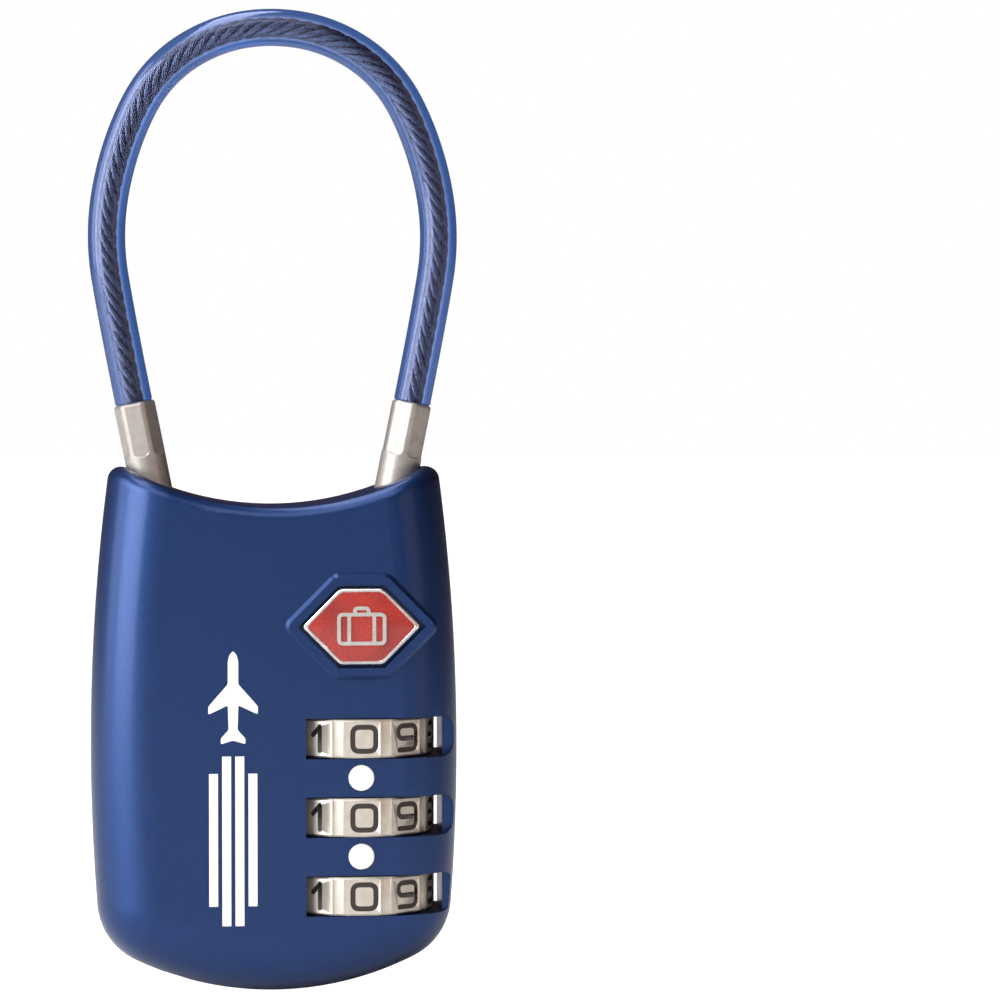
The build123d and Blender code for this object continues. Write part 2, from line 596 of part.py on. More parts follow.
with BuildPart() as locking_plate:
    bar_x = sum(PLATE_BAR_X) / 2
    block(PLATE_BAR_X, PLATE_THICKNESS, PLATE_BAR_Z)
    for z in DIAL_Z:
        block((bar_x, TOOTH_TIP_X), PLATE_THICKNESS, (z - TOOTH_BELOW[0], z - TOOTH_BELOW[1]))
    # arm, and the yoke whose two prongs lie beside the latch clip
    block((bar_x, YOKE_X[0] + YOKE_OVERLAP), PLATE_THICKNESS, ARM_Z)
    block(YOKE_X, 2 * YOKE_HALF_WIDTH, ARM_Z)
    block((YOKE_X[0] + YOKE_BACK, YOKE_X[1]), 2 * (YOKE_HALF_WIDTH - PRONG_THICKNESS), ARM_Z, Mode.SUBTRACT)
    # tab over the plug, with the slot that its pin moves in
    with BuildSketch(Plane.XY.offset(TAB_Z[0])):
        with Locations(((TAB_LEFT_X + PLATE_BAR_X[0]) / 2, 0)):
            Rectangle(PLATE_BAR_X[0] - TAB_LEFT_X, 2 * TAB_HALF_WIDTH)
        with Locations((PLUG_X + PIN_OFFSET, PIN_OFFSET / 2)):
            Rectangle(2 * (PIN_RADIUS + TAB_SLOT_PLAY), PIN_OFFSET + 2 * (PIN_RADIUS + TAB_SLOT_PLAY),
                      mode=Mode.SUBTRACT)
    extrude(amount=TAB_Z[1] - TAB_Z[0])
locking_plate.part.label = "locking_plate"
export_step(locking_plate.part, "parts/locking_plate.step")

with BuildPart() as plate_spring:
    with BuildLine():
        coil = Helix(
            pitch=PLATE_SPRING_PITCH,
            height=PLATE_SPRING_X[1] - PLATE_SPRING_X[0] - 2 * PLATE_SPRING_WIRE,
            radius=PLATE_SPRING_RADIUS,
            center=(PLATE_SPRING_X[0] + PLATE_SPRING_WIRE, 0, PLATE_SPRING_Z),
            direction=(1, 0, 0),
        )
    with BuildSketch(Plane(origin=coil @ 0, z_dir=coil % 0)):
        Circle(PLATE_SPRING_WIRE)
    sweep()
plate_spring.part.label = "plate_spring"
export_step(plate_spring.part, "parts/plate_spring.step")

# ---------------------------------------------------------------- key plug

with BuildPart() as plug_barrel:
    with BuildSketch(Plane.XY.offset(BARREL_Z[0])):
        with Locations((PLUG_X, 0)):
            Circle(BARREL_RADIUS - BARREL_PLAY)
            Circle(PLUG_RADIUS + SOCKET_CLEARANCE, mode=Mode.SUBTRACT)
    extrude(amount=BARREL_Z[1] - BARREL_Z[0])
plug_barrel.part.label = "plug_barrel"
export_step(plug_barrel.part, "parts/plug_barrel.step")

with BuildPart() as key_plug:
    with BuildSketch(Plane.XY.offset(PLUG_FACE_Z)):
        with Locations((PLUG_X, 0)):
            Circle(PLUG_RADIUS)
    extrude(amount=PLUG_TOP_Z - PLUG_FACE_Z)
    with BuildSketch(Plane.XY.offset(PLUG_TOP_Z)):
        with Locations((PLUG_X + PIN_OFFSET, 0)):
            Circle(PIN_RADIUS)
    extrude(amount=PIN_TOP_Z - PLUG_TOP_Z)
    # groove of the retaining ring
    with BuildSketch(Plane.XY.offset(PLUG_CLIP_Z[0] - PLUG_CLIP_PLAY)):
        with Locations((PLUG_X, 0)):
            Circle(2 * PLUG_RADIUS)
            Circle(PLUG_CLIP_INNER - PLUG_CLIP_PLAY, mode=Mode.SUBTRACT)
    extrude(amount=PLUG_CLIP_Z[1] - PLUG_CLIP_Z[0] + 2 * PLUG_CLIP_PLAY, mode=Mode.SUBTRACT)
    # keyway
    with BuildSketch(Plane.XY.offset(PLUG_FACE_Z)):
        with Locations((PLUG_X, 0)):
            Rectangle(KEYWAY_LENGTH, KEYWAY_WIDTH)
        with Locations((PLUG_X + KEYWAY_JOG[0], KEYWAY_JOG[1])):
            Rectangle(KEYWAY_JOG_LENGTH, KEYWAY_WIDTH)
    extrude(amount=KEYWAY_DEPTH, mode=Mode.SUBTRACT)
    # slots of the wafers
    for z in WAFER_Z:
        with Locations((PLUG_X, 0, z)):
            Box(
                2 * PLUG_RADIUS,
                WAFER_WIDTH + 2 * WAFER_PLAY,
                WAFER_THICKNESS + 2 * WAFER_PLAY,
                mode=Mode.SUBTRACT,
            )
key_plug.part.label = "key_plug"
export_step(key_plug.part, "parts/key_plug.step")

with BuildPart() as plug_wafers:
    for z in WAFER_Z:
        with BuildSketch(Plane.XY.offset(z - WAFER_THICKNESS / 2)):
            with Locations((PLUG_X, 0)):
                Rectangle(WAFER_LENGTH, WAFER_WIDTH)
                Rectangle(WAFER_LENGTH - 2 * WAFER_RIM[0], WAFER_WIDTH - 2 * WAFER_RIM[1], mode=Mode.SUBTRACT)
        extrude(amount=WAFER_THICKNESS)
plug_wafers.part.label = "plug_wafers"
export_step(plug_wafers.part, "parts/plug_wafers.step")

with BuildPart() as plug_clip:
    with BuildSketch(Plane.XY.offset(PLUG_CLIP_Z[0])):
        with Locations((PLUG_X, 0)):
            Circle(PLUG_CLIP_OUTER)
            Circle(PLUG_CLIP_INNER, mode=Mode.SUBTRACT)
        with Locations((PLUG_X - BARREL_RADIUS, 0)):
            Rectangle(2 * BARREL_RADIUS, PLUG_CLIP_MOUTH, mode=Mode.SUBTRACT)
    extrude(amount=PLUG_CLIP_Z[1] - PLUG_CLIP_Z[0])
plug_clip.part.label = "plug_clip"
export_step(plug_clip.part, "parts/plug_clip.step")
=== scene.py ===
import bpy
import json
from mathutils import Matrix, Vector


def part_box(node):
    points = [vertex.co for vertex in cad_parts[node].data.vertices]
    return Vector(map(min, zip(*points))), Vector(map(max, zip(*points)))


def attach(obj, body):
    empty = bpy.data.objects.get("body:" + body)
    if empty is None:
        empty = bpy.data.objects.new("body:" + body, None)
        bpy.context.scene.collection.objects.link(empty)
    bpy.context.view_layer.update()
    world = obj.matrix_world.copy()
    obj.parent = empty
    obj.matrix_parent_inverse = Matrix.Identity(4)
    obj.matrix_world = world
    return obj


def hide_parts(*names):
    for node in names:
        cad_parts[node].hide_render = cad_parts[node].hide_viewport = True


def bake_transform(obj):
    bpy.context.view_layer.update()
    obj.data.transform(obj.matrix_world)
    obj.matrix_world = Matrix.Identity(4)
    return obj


bl_info = {
    "name": "Cable Luggage Lock",
    "version": (1, 0, 0),
    "blender": (4, 5, 0),
    "location": "3D View > Sidebar > Luggage Lock",
    "description": "Finishes a dial luggage lock with a sleeved cable loop around its packed frame",
    "category": "Object",
}

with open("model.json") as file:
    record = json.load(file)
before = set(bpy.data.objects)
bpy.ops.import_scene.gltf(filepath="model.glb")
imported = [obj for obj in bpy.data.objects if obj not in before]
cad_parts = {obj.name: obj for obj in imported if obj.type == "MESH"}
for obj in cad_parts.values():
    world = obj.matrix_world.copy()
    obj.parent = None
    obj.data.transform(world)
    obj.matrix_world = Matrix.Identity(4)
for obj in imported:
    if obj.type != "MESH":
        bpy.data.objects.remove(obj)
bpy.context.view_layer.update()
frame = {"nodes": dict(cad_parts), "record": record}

import json
import math

import bmesh
import bpy
from mathutils import Matrix, Vector

MM = 0.001
FRONT_FACE_Y = -5.6 * MM
DIAL_NODES = ("dial_1", "dial_2", "dial_3")
SAME_POINT = 1e-6           # vertices of a CAD node nearer than this are one
CORNER_STEPS = 4            # in a rounded corner of an outline
CAP_STEPS = 8               # in the half circle at a bar's end
EDGE_SHARE = 0.48           # most of an edge that one rounded corner takes
MITRE_LIMIT = 0.5           # least cosine by which a bar's corner is drawn out
ROUTE_STEPS = 20            # between two points of the cable's route
SLEEVE_SIDES = 36           # points round the sleeve
FERRULE_SIDES = 144         # points round a ferrule
DOT_SIDES = 48              # points round an index dot
FLOOR_SIDES = 96            # points round the floor
FLOOR_RADIUS = 2.5
NUMBER_DEGREES = 36         # from one number of a dial to the next
FRONT_DEGREES = -90         # direction of the front, seen from above

# The cable's route, right end first, as in the CAD part: its right half, mirrored for the left
HALF_ROUTE = (
    (11.40, 48.20),
    (12.76, 55.00),
    (13.90, 62.00),
    (12.60, 69.10),
    (9.50, 75.40),
    (3.60, 78.90),
)
FERRULE_LEAN = math.atan2(HALF_ROUTE[1][0] - HALF_ROUTE[0][0], HALF_ROUTE[1][1] - HALF_ROUTE[0][1])
FERRULE_TOP = Vector((HALF_ROUTE[0][0], 0, HALF_ROUTE[0][1])) * MM

# Centre lines of the numbers on a cell that runs from -1 to 1 each way: closed or open strokes
NUMBER_STROKES = (
    [(True, [(-1, -1), (-1, 1), (1, 1), (1, -1)])],
    [(False, [(0.15, -1), (0.15, 1)]), (False, [(0.15, 0.95), (-0.55, 0.3)])],
    [(False, [(-1, 0.55), (-1, 1), (1, 1), (1, 0.1), (-1, -1), (1, -1)])],
    [(False, [(-1, 1), (1, 1), (1, -1), (-1, -1)]), (False, [(-0.4, 0.05), (0.98, 0.05)])],
    [(False, [(0.45, -1), (0.45, 1), (-1, -0.35), (1, -0.35)])],
    [(False, [(1, 1), (-0.85, 1), (-0.85, 0.15), (1, 0.15), (1, -1), (-1, -1)])],
    [(False, [(0.9, 1), (-1, 1), (-1, -1), (1, -1), (1, 0.1), (-0.95, 0.1)])],
    [(False, [(-1, 1), (1, 1), (-0.2, -1)])],
    [(True, [(-1, -1), (-1, 1), (1, 1), (1, -1)]), (False, [(-0.95, 0.05), (0.95, 0.05)])],
    [(False, [(-0.9, -1), (1, -1), (1, 1), (-1, 1), (-1, -0.05), (0.95, -0.05)])],
)

# Body that presses each coil spring, and the way from the spring's still end to it
COIL_SPRINGS = {
    "reset_spring": ("reset_spindle", Vector((0, 0, -1))),
    "plate_spring": ("plate", Vector((1, 0, 0))),
}

# Right half of an aeroplane seen from above, nose up, in millimetres from its nose
PLANE_HALF = (
    (0.0, 0.0),
    (0.3, -0.35),
    (0.42, -0.9),
    (0.42, -2.7),
    (2.0, -4.5),
    (2.0, -5.15),
    (0.42, -4.4),
    (0.36, -6.4),
    (1.0, -7.1),
    (1.0, -7.55),
    (0.0, -7.25),
)

# Side view of an index dot: share of its radius, and millimetres out of its front face
DOT_PROFILE = ((1.0, -0.55), (1.0, -0.05), (0.97, 0.0), (0.85, 0.025), (0.5, 0.04), (0.12, 0.045))

# Brightness of the room by the way that a ray goes, from the front left and above to the back right
ROOM_LEVELS = ((0.0, 0.15), (0.20, 0.12), (0.32, 0.05), (0.45, 0.03), (0.60, 0.01), (1.0, 0.0))
ROOM_SHADE = (0.05, 0.024, 0.02)
ROOM_LIGHT = (1.5, 1.5, 1.6)

# Name, place, aim, size, watts and colour of each lamp
LAMPS = (
    ("left_softbox", (-0.46, -0.29, 0.18), (0, 0, 0.04), (0.42, 0.60), 5.3, (1, 1, 1)),
    ("side_strip", (-0.52, 0.02, 0.26), (0, 0, 0.05), (0.22, 0.55), 1.1, (1, 1, 1)),
    ("top_strip", (-0.10, 0.03, 0.58), (0, 0, 0.07), (0.45, 0.20), 1.6, (1, 1, 1)),
    ("top_softbox", (-0.10, -0.38, 0.50), (0, 0, 0.03), (0.50, 0.36), 1.3, (1, 1, 1)),
    ("right_fill", (0.45, -0.45, 0.15), (0, 0, 0.04), (0.30, 0.50), 0.40, (1.0, 0.62, 0.45)),
    ("front_panel", (-0.12, -0.75, 0.16), (0, 0, 0.03), (0.45, 0.45), 0.22, (1.0, 0.98, 0.94)),
)


# ---------------------------------------------------------------- settings


def length(name, description, millimetres):
    """A size in metres, from its value in millimetres."""
    return bpy.props.FloatProperty(
        name=name, description=description, default=millimetres * MM, precision=5, unit="LENGTH")


def colour(name, description, value):
    """A colour, from 0 to 1 in red, green and blue."""
    return bpy.props.FloatVectorProperty(
        name=name, description=description, default=value, min=0, max=1, subtype="COLOR")


def angle(name, description, degrees):
    """An angle in radians, from its value in degrees."""
    return bpy.props.FloatProperty(
        name=name, description=description, default=math.radians(degrees), unit="ROTATION")


def factor(name, description, value, **limits):
    """A number without a unit."""
    return bpy.props.FloatProperty(name=name, description=description, default=value, **limits)


def amount(name, description, value, least):
    """How many there are of something."""
    return bpy.props.IntProperty(name=name, description=description, default=value, min=least, max=12)


def chapter(kind, name, description):
    """A group of settings inside another."""
    return bpy.props.PointerProperty(type=kind, name=name, description=description)


def node_thickness(node):
    """Depth of a node from front to back, in millimetres."""
    low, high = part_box(node)
    return (high.y - low.y) / MM


class CaseSettings(bpy.types.PropertyGroup):
    """Paint and print of the case."""
    paint: colour("Paint", "Body colour of the case", (0.0035, 0.027, 0.117))
    flake: colour("Flake", "Colour of the fine metallic grain", (0.016, 0.054, 0.195))
    printing: colour("Print", "Colour of the picture on the front", (0.92, 0.92, 0.92))
    print_left: length("Print left", "Left edge of the picture", -5.55)
    print_width: length("Print width", "Width across the stripes", 3.9)
    print_top: length("Print top", "Height of the aeroplane's nose", 28.2)
    print_bottom: length("Print bottom", "Height of the longest stripe's end", 5.9)
    print_thickness: length("Print thickness", "How far the print stands on the paint", 0.02)
    stripe_count: amount("Stripes", "Stripes behind the aeroplane", 4, 2)
    stripe_width: length("Stripe width", "Width of one stripe", 0.72)
    plane_corner: length("Plane corner", "Rounding of the aeroplane's corners", 0.16)
    tail_gap: length("Tail gap", "From the aeroplane's tail to the stripes", 1.3)
    outer_top: length("Outer top", "How much lower the outer stripes start", 1.4)
    outer_bottom: length("Outer bottom", "How much higher the outer stripes end", 1.6)


class BadgeSettings(bpy.types.PropertyGroup):
    """Six-sided badge set in the front."""
    rim: length("Rim", "Metal left bare round the enamel", 0.3)
    bevel: length("Bevel", "Slope at the plate's outer edge", 0.14)
    pocket: length("Pocket", "Depth of the enamel's pocket", 0.22)
    crown: length("Crown", "How far the enamel swells above its edge", 0.12)
    flat_share: factor("Flat share", "Flat top over the plate's whole width", 0.366, min=0.1, max=0.9)
    enamel: colour("Enamel", "Colour of the enamel", (0.36, 0.026, 0.018))
    deep_enamel: colour("Deep enamel", "Colour of the enamel's darker parts", (0.23, 0.018, 0.015))
    case_width: length("Suitcase width", "Width of the suitcase picture", 3.7)
    case_height: length("Suitcase height", "Height of the suitcase picture", 2.35)
    line_width: length("Line width", "Width of the suitcase's lines", 0.3)
    corner: length("Corner", "Rounding of the badge's and the suitcase's corners", 0.35)


class DialSettings(bpy.types.PropertyGroup):
    """Number dials."""
    flat_radius: length("Flat radius", "From the axis to a numbered flat", 6.18)
    number_width: length("Number width", "Width between a number's centre lines", 1.87)
    number_turn: angle("Number turn", "Turn of the numbers from the middles of their flats", 1.7)
    number_height: length("Number height", "Height between a number's centre lines", 1.95)
    stroke: length("Stroke", "Width of the engraved line", 0.42)
    engraving: length("Engraving", "Depth of the engraved line", 0.12)
    ink_recess: length("Ink recess", "From the flat down to the ink", 0.035)
    corner: length("Corner", "Rounding of a number's corners", 0.55)
    softness: length("Softness", "Rounding of the dial's edges", 0.05)
    ink: colour("Ink", "Filling of the numbers", (0.013, 0.010, 0.009))


class FerruleSettings(bpy.types.PropertyGroup):
    """Crimped ferrules at both ends of the cable."""
    radius: length("Radius", "Radius of the turned shank", 1.69)
    apothem: length("Apothem", "From the axis to a crimped flat", 1.545)
    crimp: length("Crimp", "Length of the crimped flats", 4.5)
    length: length("Length", "Whole length", 17.73)
    bore: length("Bore", "Radius of the hole for the rope", 0.86)
    bore_depth: length("Bore depth", "Depth of the hole for the rope", 6.0)
    groove_radius: length("Groove radius", "Radius in the latch groove", 1.15)
    groove_width: length("Groove width", "Width of the latch groove", 1.0)
    groove_height: length("Groove height", "Height of the latch groove's middle", 34.0)
    rim: length("Rim", "Rounding of the top edge", 0.28)
    tail: length("Tail", "Chamfer of the lower end", 0.5)
    foot_round: length("Foot round", "Height of the curved lower edge of a flat", 0.45)
    fade: length("Fade", "Length over which a flat runs out into the shank", 0.10)
    left_turn: angle("Left turn", "Direction of a flat on the fixed ferrule, from the front", -9)
    right_turn: angle("Right turn", "Direction of a flat on the free ferrule, from the front", -27)


class CableSettings(bpy.types.PropertyGroup):
    """Steel rope and its clear sleeve."""
    sleeve: length("Sleeve", "Diameter over the sleeve", node_thickness("cable_jacket"))
    sleeve_bore: length("Sleeve bore", "Diameter inside the sleeve", 1.72)
    rope: length("Rope", "Diameter of the rope", node_thickness("cable_core"))
    strands: amount("Strands", "Strands laid round the middle one", 6, 3)
    wires: amount("Wires", "Wires laid round each strand's middle", 6, 3)
    rope_lay: length("Rope lay", "Length in which a strand goes once round", 7.2)
    strand_lay: length("Strand lay", "Length in which a wire goes once round its strand", 4.6)
    tuck: length("Tuck", "Length of rope inside each ferrule", 5.6)
    step: length("Step", "Distance between the points of a wire", 0.25)
    tint: colour("Tint", "Light that the front of the sleeve lets through", (0.53, 0.60, 0.80))
    deep_tint: colour("Deep tint", "Light that the sides of the sleeve let through", (0.205, 0.335, 0.575))
    body: colour("Body", "Colour of the sleeve's own gloss", (0.62, 0.66, 0.98))


class StageSettings(bpy.types.PropertyGroup):
    """Floor, light and camera."""
    distance: length("Distance", "From the camera to the lock", 330)
    height: length("Height", "Height of the camera", 50)
    turn: angle("Turn", "Direction of the camera, from the front", -3)
    aim_side: length("Aim side", "How far to the right of the lock the camera aims", 18.7)
    aim_height: length("Aim height", "Height that the camera aims at", 40.15)
    lens: factor("Lens", "Focal length of the camera in millimetres", 144.5, min=20, max=400)
    floor: colour("Floor", "Colour of the floor", (0.86, 0.86, 0.86))
    floor_glow: factor("Floor glow", "Brightness that whitens the floor for the camera", 1.4, min=0)


class LockSettings(bpy.types.PropertyGroup):
    """All settings of the lock."""
    case: chapter(CaseSettings, "Case", "Paint and print")
    badge: chapter(BadgeSettings, "Badge", "Badge on the front")
    dials: chapter(DialSettings, "Dials", "Number dials")
    ferrules: chapter(FerruleSettings, "Ferrules", "Ends of the cable")
    cable: chapter(CableSettings, "Cable", "Rope and sleeve")
    stage: chapter(StageSettings, "Stage", "Floor, light and camera")


# ---------------------------------------------------------------- node trees


class Socket:
    """An output socket that Python sums work on. Each sum adds a Math node to its tree."""

    def __init__(self, tree, output):
        self.tree = tree
        self.output = output

    def sum(self, operation, first, second):
        """Output of a new Math node."""
        return self.tree.node("ShaderNodeMath", {"operation": operation}, {0: first, 1: second})

    def __add__(self, other):
        return self.sum("ADD", self, other)

    def __radd__(self, other):
        return self.sum("ADD", other, self)

    def __sub__(self, other):
        return self.sum("SUBTRACT", self, other)

    def __rsub__(self, other):
        return self.sum("SUBTRACT", other, self)

    def __mul__(self, other):
        return self.sum("MULTIPLY", self, other)

    def __rmul__(self, other):
        return self.sum("MULTIPLY", other, self)

    def __truediv__(self, other):
        return self.sum("DIVIDE", self, other)

    def __rtruediv__(self, other):
        return self.sum("DIVIDE", other, self)


class Tree:
    """A node tree that is filled by one method."""

    def __init__(self, tree):
        self.tree = tree
        self.tree.nodes.clear()

    def node(self, kind, settings=None, sockets=None, output=0):
        """Adds a node, sets it, then fills its sockets with values, links or a list of links.

        Returns one of its outputs."""
        made = self.tree.nodes.new(kind)
        for key, value in (settings or {}).items():
            if key == "stops":
                self.set_stops(made.color_ramp, value)
            else:
                setattr(made, key, value)
        for key, given in (sockets or {}).items():
            for value in given if isinstance(given, list) else [given]:
                if isinstance(value, Socket):
                    self.tree.links.new(value.output, made.inputs[key])
                else:
                    made.inputs[key].default_value = value
        return Socket(self, made.outputs[output]) if made.outputs else None

    def set_stops(self, ramp, stops):
        """Fills a colour ramp with greys or colours at their places."""
        while len(ramp.elements) < len(stops):
            ramp.elements.new(1.0)
        for element, (place, value) in zip(ramp.elements, stops):
            element.position = place
            element.color = (value, value, value, 1) if isinstance(value, float) else (*value, 1)

    def also(self, socket, output):
        """Another output of the node that a socket comes from."""
        return Socket(self, socket.output.node.outputs[output])

    def mix(self, low, high, factor):
        """A colour between two colours."""
        low, high = [side if isinstance(side, Socket) else (*side, 1) for side in (low, high)]
        return self.node("ShaderNodeMix", {"data_type": "RGBA"}, {0: factor, 6: low, 7: high}, output=2)

    def ramp(self, value, stops):
        """Grey or colour that a value picks out of its stops."""
        return self.node("ShaderNodeValToRGB", {"stops": stops}, {"Fac": value})


class Finish(Tree):
    """One material."""

    def __init__(self, name):
        self.material = bpy.data.materials.new(name)
        self.material.use_nodes = True
        super().__init__(self.material.node_tree)

    def place(self, stretch=(1, 1, 1)):
        """Object coordinates, in metres, with more detail along the axes that are stretched."""
        here = self.node("ShaderNodeTexCoord", output="Object")
        return self.node("ShaderNodeMapping", sockets={"Vector": here, "Scale": stretch})

    def noise(self, size_mm, detail=2.0, stretch=(1, 1, 1)):
        """Cloudy pattern from 0 to 1, whose patches are about a size in millimetres."""
        return self.node("ShaderNodeTexNoise", sockets={
            "Vector": self.place(stretch), "Scale": 1 / (size_mm * MM), "Detail": detail})

    def spread(self, value, low, high):
        """Stretches the middle of a pattern, between low and high, to the whole of 0 to 1."""
        return self.node("ShaderNodeMapRange", sockets={"Value": value, "From Min": low, "From Max": high})

    def bump(self, height, strength, depth_mm):
        """Normal that follows a height."""
        return self.node("ShaderNodeBump", sockets={
            "Height": height, "Strength": strength, "Distance": depth_mm * MM})

    def principled(self, **sockets):
        """Main shader, its sockets named in lower case."""
        named = {key.replace("_", " ").title(): value for key, value in sockets.items()}
        return self.node("ShaderNodeBsdfPrincipled", sockets=named)

    def layered(self, under, over, share):
        """Two shaders, of which the second takes a share."""
        return self.node("ShaderNodeMixShader", sockets={0: share, 1: under, 2: over})

    def surface(self, shader):
        """Ends the material in a shader and returns it."""
        self.node("ShaderNodeOutputMaterial", sockets={"Surface": shader})
        return self.material


class Group(Tree):
    """A geometry node tree with a named input for each of its sizes."""

    def __init__(self, name, sizes):
        group = bpy.data.node_groups.new(name, "GeometryNodeTree")
        self.identifiers = {}
        group.interface.new_socket("Geometry", in_out="INPUT", socket_type="NodeSocketGeometry")
        for label, value in sizes.items():
            kind = "NodeSocketInt" if isinstance(value, int) else "NodeSocketFloat"
            item = group.interface.new_socket(label, in_out="INPUT", socket_type=kind)
            item.default_value = value
            self.identifiers[label] = item.identifier
        group.interface.new_socket("Geometry", in_out="OUTPUT", socket_type="NodeSocketGeometry")
        super().__init__(group)
        self.entry = self.node("NodeGroupInput")

    def given(self, label):
        """A size, or the geometry, that comes in."""
        return self.also(self.entry, label)

    def maths(self, operation, value):
        """A function of one number."""
        return self.node("ShaderNodeMath", {"operation": operation}, {0: value})

    def vectors(self, operation, first, second):
        """Result of two vectors."""
        return self.node("ShaderNodeVectorMath", {"operation": operation}, {0: first, 1: second})

    def scaled(self, vector, factor):
        """Vector times a number."""
        return self.node("ShaderNodeVectorMath", {"operation": "SCALE"}, {0: vector, "Scale": factor})

    def swept(self, line, profile):
        """Closed skin of a profile along a line."""
        return self.node("GeometryNodeCurveToMesh", sockets={
            "Curve": line, "Profile Curve": profile, "Fill Caps": True})

    def close(self, geometry, material):
        """Makes the geometry real, gives it its material and sends it out."""
        real = self.node("GeometryNodeRealizeInstances", sockets={"Geometry": geometry})
        finished = self.node("GeometryNodeSetMaterial", sockets={"Geometry": real, "Material": material})
        self.node("NodeGroupOutput", sockets={"Geometry": finished})


# ---------------------------------------------------------------- finishes


def satin_blue_paint(case):
    """Metallic blue paint with fine grain and a satin sheen."""
    finish = Finish("satin_blue_paint")
    grain = finish.spread(finish.noise(0.11, detail=3.0), low=0.35, high=0.68)
    cloud = finish.noise(7.0)
    flow = finish.noise(0.5, detail=3.0)
    shade = finish.mix(case.paint, case.flake, grain * 0.5 + cloud * 0.1)
    height = grain * 0.6 + flow * 0.7
    return finish.surface(finish.principled(
        base_color=shade, metallic=0.85, roughness=0.38 + 0.10 * grain,
        coat_weight=0.45, coat_roughness=0.22, normal=finish.bump(height, strength=0.5, depth_mm=0.006)))


def white_print(case):
    """Pad-printed white ink, a little thin in places."""
    finish = Finish("white_print")
    thin = finish.spread(finish.noise(0.25, detail=4.0), low=0.3, high=0.75)
    shade = finish.mix(case.printing, tuple(0.93 * c for c in case.printing), thin)
    return finish.surface(finish.principled(
        base_color=shade, roughness=0.42 + 0.12 * thin,
        normal=finish.bump(thin, strength=0.4, depth_mm=0.004)))


def worn_metal(
        name, light, dark, roughness, spread=0.12, patch=1.2, stretch=(1, 1, 1), depth=0.004, metallic=1.0):
    """Bare or plated metal with fine scratches along one way and a cloudy tarnish."""
    finish = Finish(name)
    lines = finish.noise(0.09, detail=3.0, stretch=stretch)
    cloud = finish.spread(finish.noise(patch, detail=3.0), low=0.32, high=0.7)
    shade = finish.mix(light, dark, cloud * 0.6 + lines * 0.4)
    return finish.surface(finish.principled(
        base_color=shade, metallic=metallic, roughness=roughness + spread * cloud + 0.08 * lines,
        normal=finish.bump(lines, strength=0.45, depth_mm=depth)))


def red_enamel(badge):
    """Glossy enamel, deeper where it lies thick."""
    finish = Finish("red_enamel")
    cloud = finish.spread(finish.noise(2.2, detail=1.0), low=0.35, high=0.65)
    specks = finish.noise(0.12, detail=2.0)
    shade = finish.mix(badge.enamel, badge.deep_enamel, cloud * 0.7)
    return finish.surface(finish.principled(
        base_color=shade, roughness=0.22 + 0.10 * specks, coat_weight=0.35, coat_roughness=0.06,
        normal=finish.bump(specks, strength=0.2, depth_mm=0.004)))


def number_ink(dials):
    """Black filling of the engraved numbers."""
    finish = Finish("number_ink")
    grain = finish.noise(0.1, detail=3.0)
    shade = finish.mix(dials.ink, tuple(3.0 * c for c in dials.ink), grain)
    return finish.surface(finish.principled(
        base_color=shade, roughness=0.38 + 0.2 * grain,
        normal=finish.bump(grain, strength=0.6, depth_mm=0.012)))


def white_dot_paint():
    """White paint of the index dots."""
    finish = Finish("white_dot_paint")
    grain = finish.noise(0.3, detail=3.0)
    shade = finish.mix((0.93, 0.93, 0.92), (0.80, 0.80, 0.79), grain * 0.5)
    return finish.surface(finish.principled(
        base_color=shade, roughness=0.3 + 0.15 * grain,
        normal=finish.bump(grain, strength=0.25, depth_mm=0.006)))


def clear_blue_vinyl(cable):
    """Clear tinted sleeve: what is behind shows through it, and its surface is glossy."""
    finish = Finish("clear_blue_vinyl")
    cloud = finish.noise(2.5, detail=2.0)
    ripple = finish.noise(0.8, detail=2.0)
    body = finish.mix(cable.body, tuple(0.85 * c for c in cable.body), cloud)
    gloss = finish.principled(
        base_color=body, metallic=0.9, roughness=0.07 + 0.07 * ripple,
        normal=finish.bump(ripple, strength=0.25, depth_mm=0.02))
    facing = finish.node("ShaderNodeLayerWeight", sockets={"Blend": 0.5}, output="Facing")
    thin = finish.node("ShaderNodeBsdfTransparent", sockets={"Color": (*cable.tint, 1)})
    thick = finish.node("ShaderNodeBsdfTransparent", sockets={"Color": (*cable.deep_tint, 1)})
    through = finish.layered(thin, thick, finish.spread(facing, low=0.08, high=0.3))
    return finish.surface(finish.layered(through, gloss, 0.03 + 0.26 * facing))


def clear_bore():
    """Inner wall of the sleeve, which grips the rope and hardly shows."""
    finish = Finish("clear_bore")
    cloud = finish.noise(1.5, detail=2.0)
    film = finish.principled(base_color=(0.04, 0.10, 0.32, 1), roughness=0.3 + 0.1 * cloud)
    through = finish.node("ShaderNodeBsdfTransparent")
    return finish.surface(finish.layered(through, film, 0.03 + 0.02 * cloud))


# ---------------------------------------------------------------- mesh helpers


def new_object(name, mesh):
    """Object at the origin that holds a mesh, a curve, a light or a camera."""
    made = bpy.data.objects.new(name, mesh)
    bpy.context.scene.collection.objects.link(made)
    return made


def smooth(mesh, degrees=35):
    """Shades a mesh smooth, but leaves edges sharper than an angle."""
    mesh.polygons.foreach_set("use_smooth", [True] * len(mesh.polygons))
    mesh.set_sharp_from_angle(angle=math.radians(degrees))


def solid(name, form, materials, sharp):
    """Object with the mesh of a closed form, whose faces are turned outwards."""
    bmesh.ops.recalc_face_normals(form, faces=form.faces)
    mesh = bpy.data.meshes.new(name)
    form.to_mesh(mesh)
    form.free()
    for material in materials:
        mesh.materials.append(material)
    smooth(mesh, sharp)
    return new_object(name, mesh)


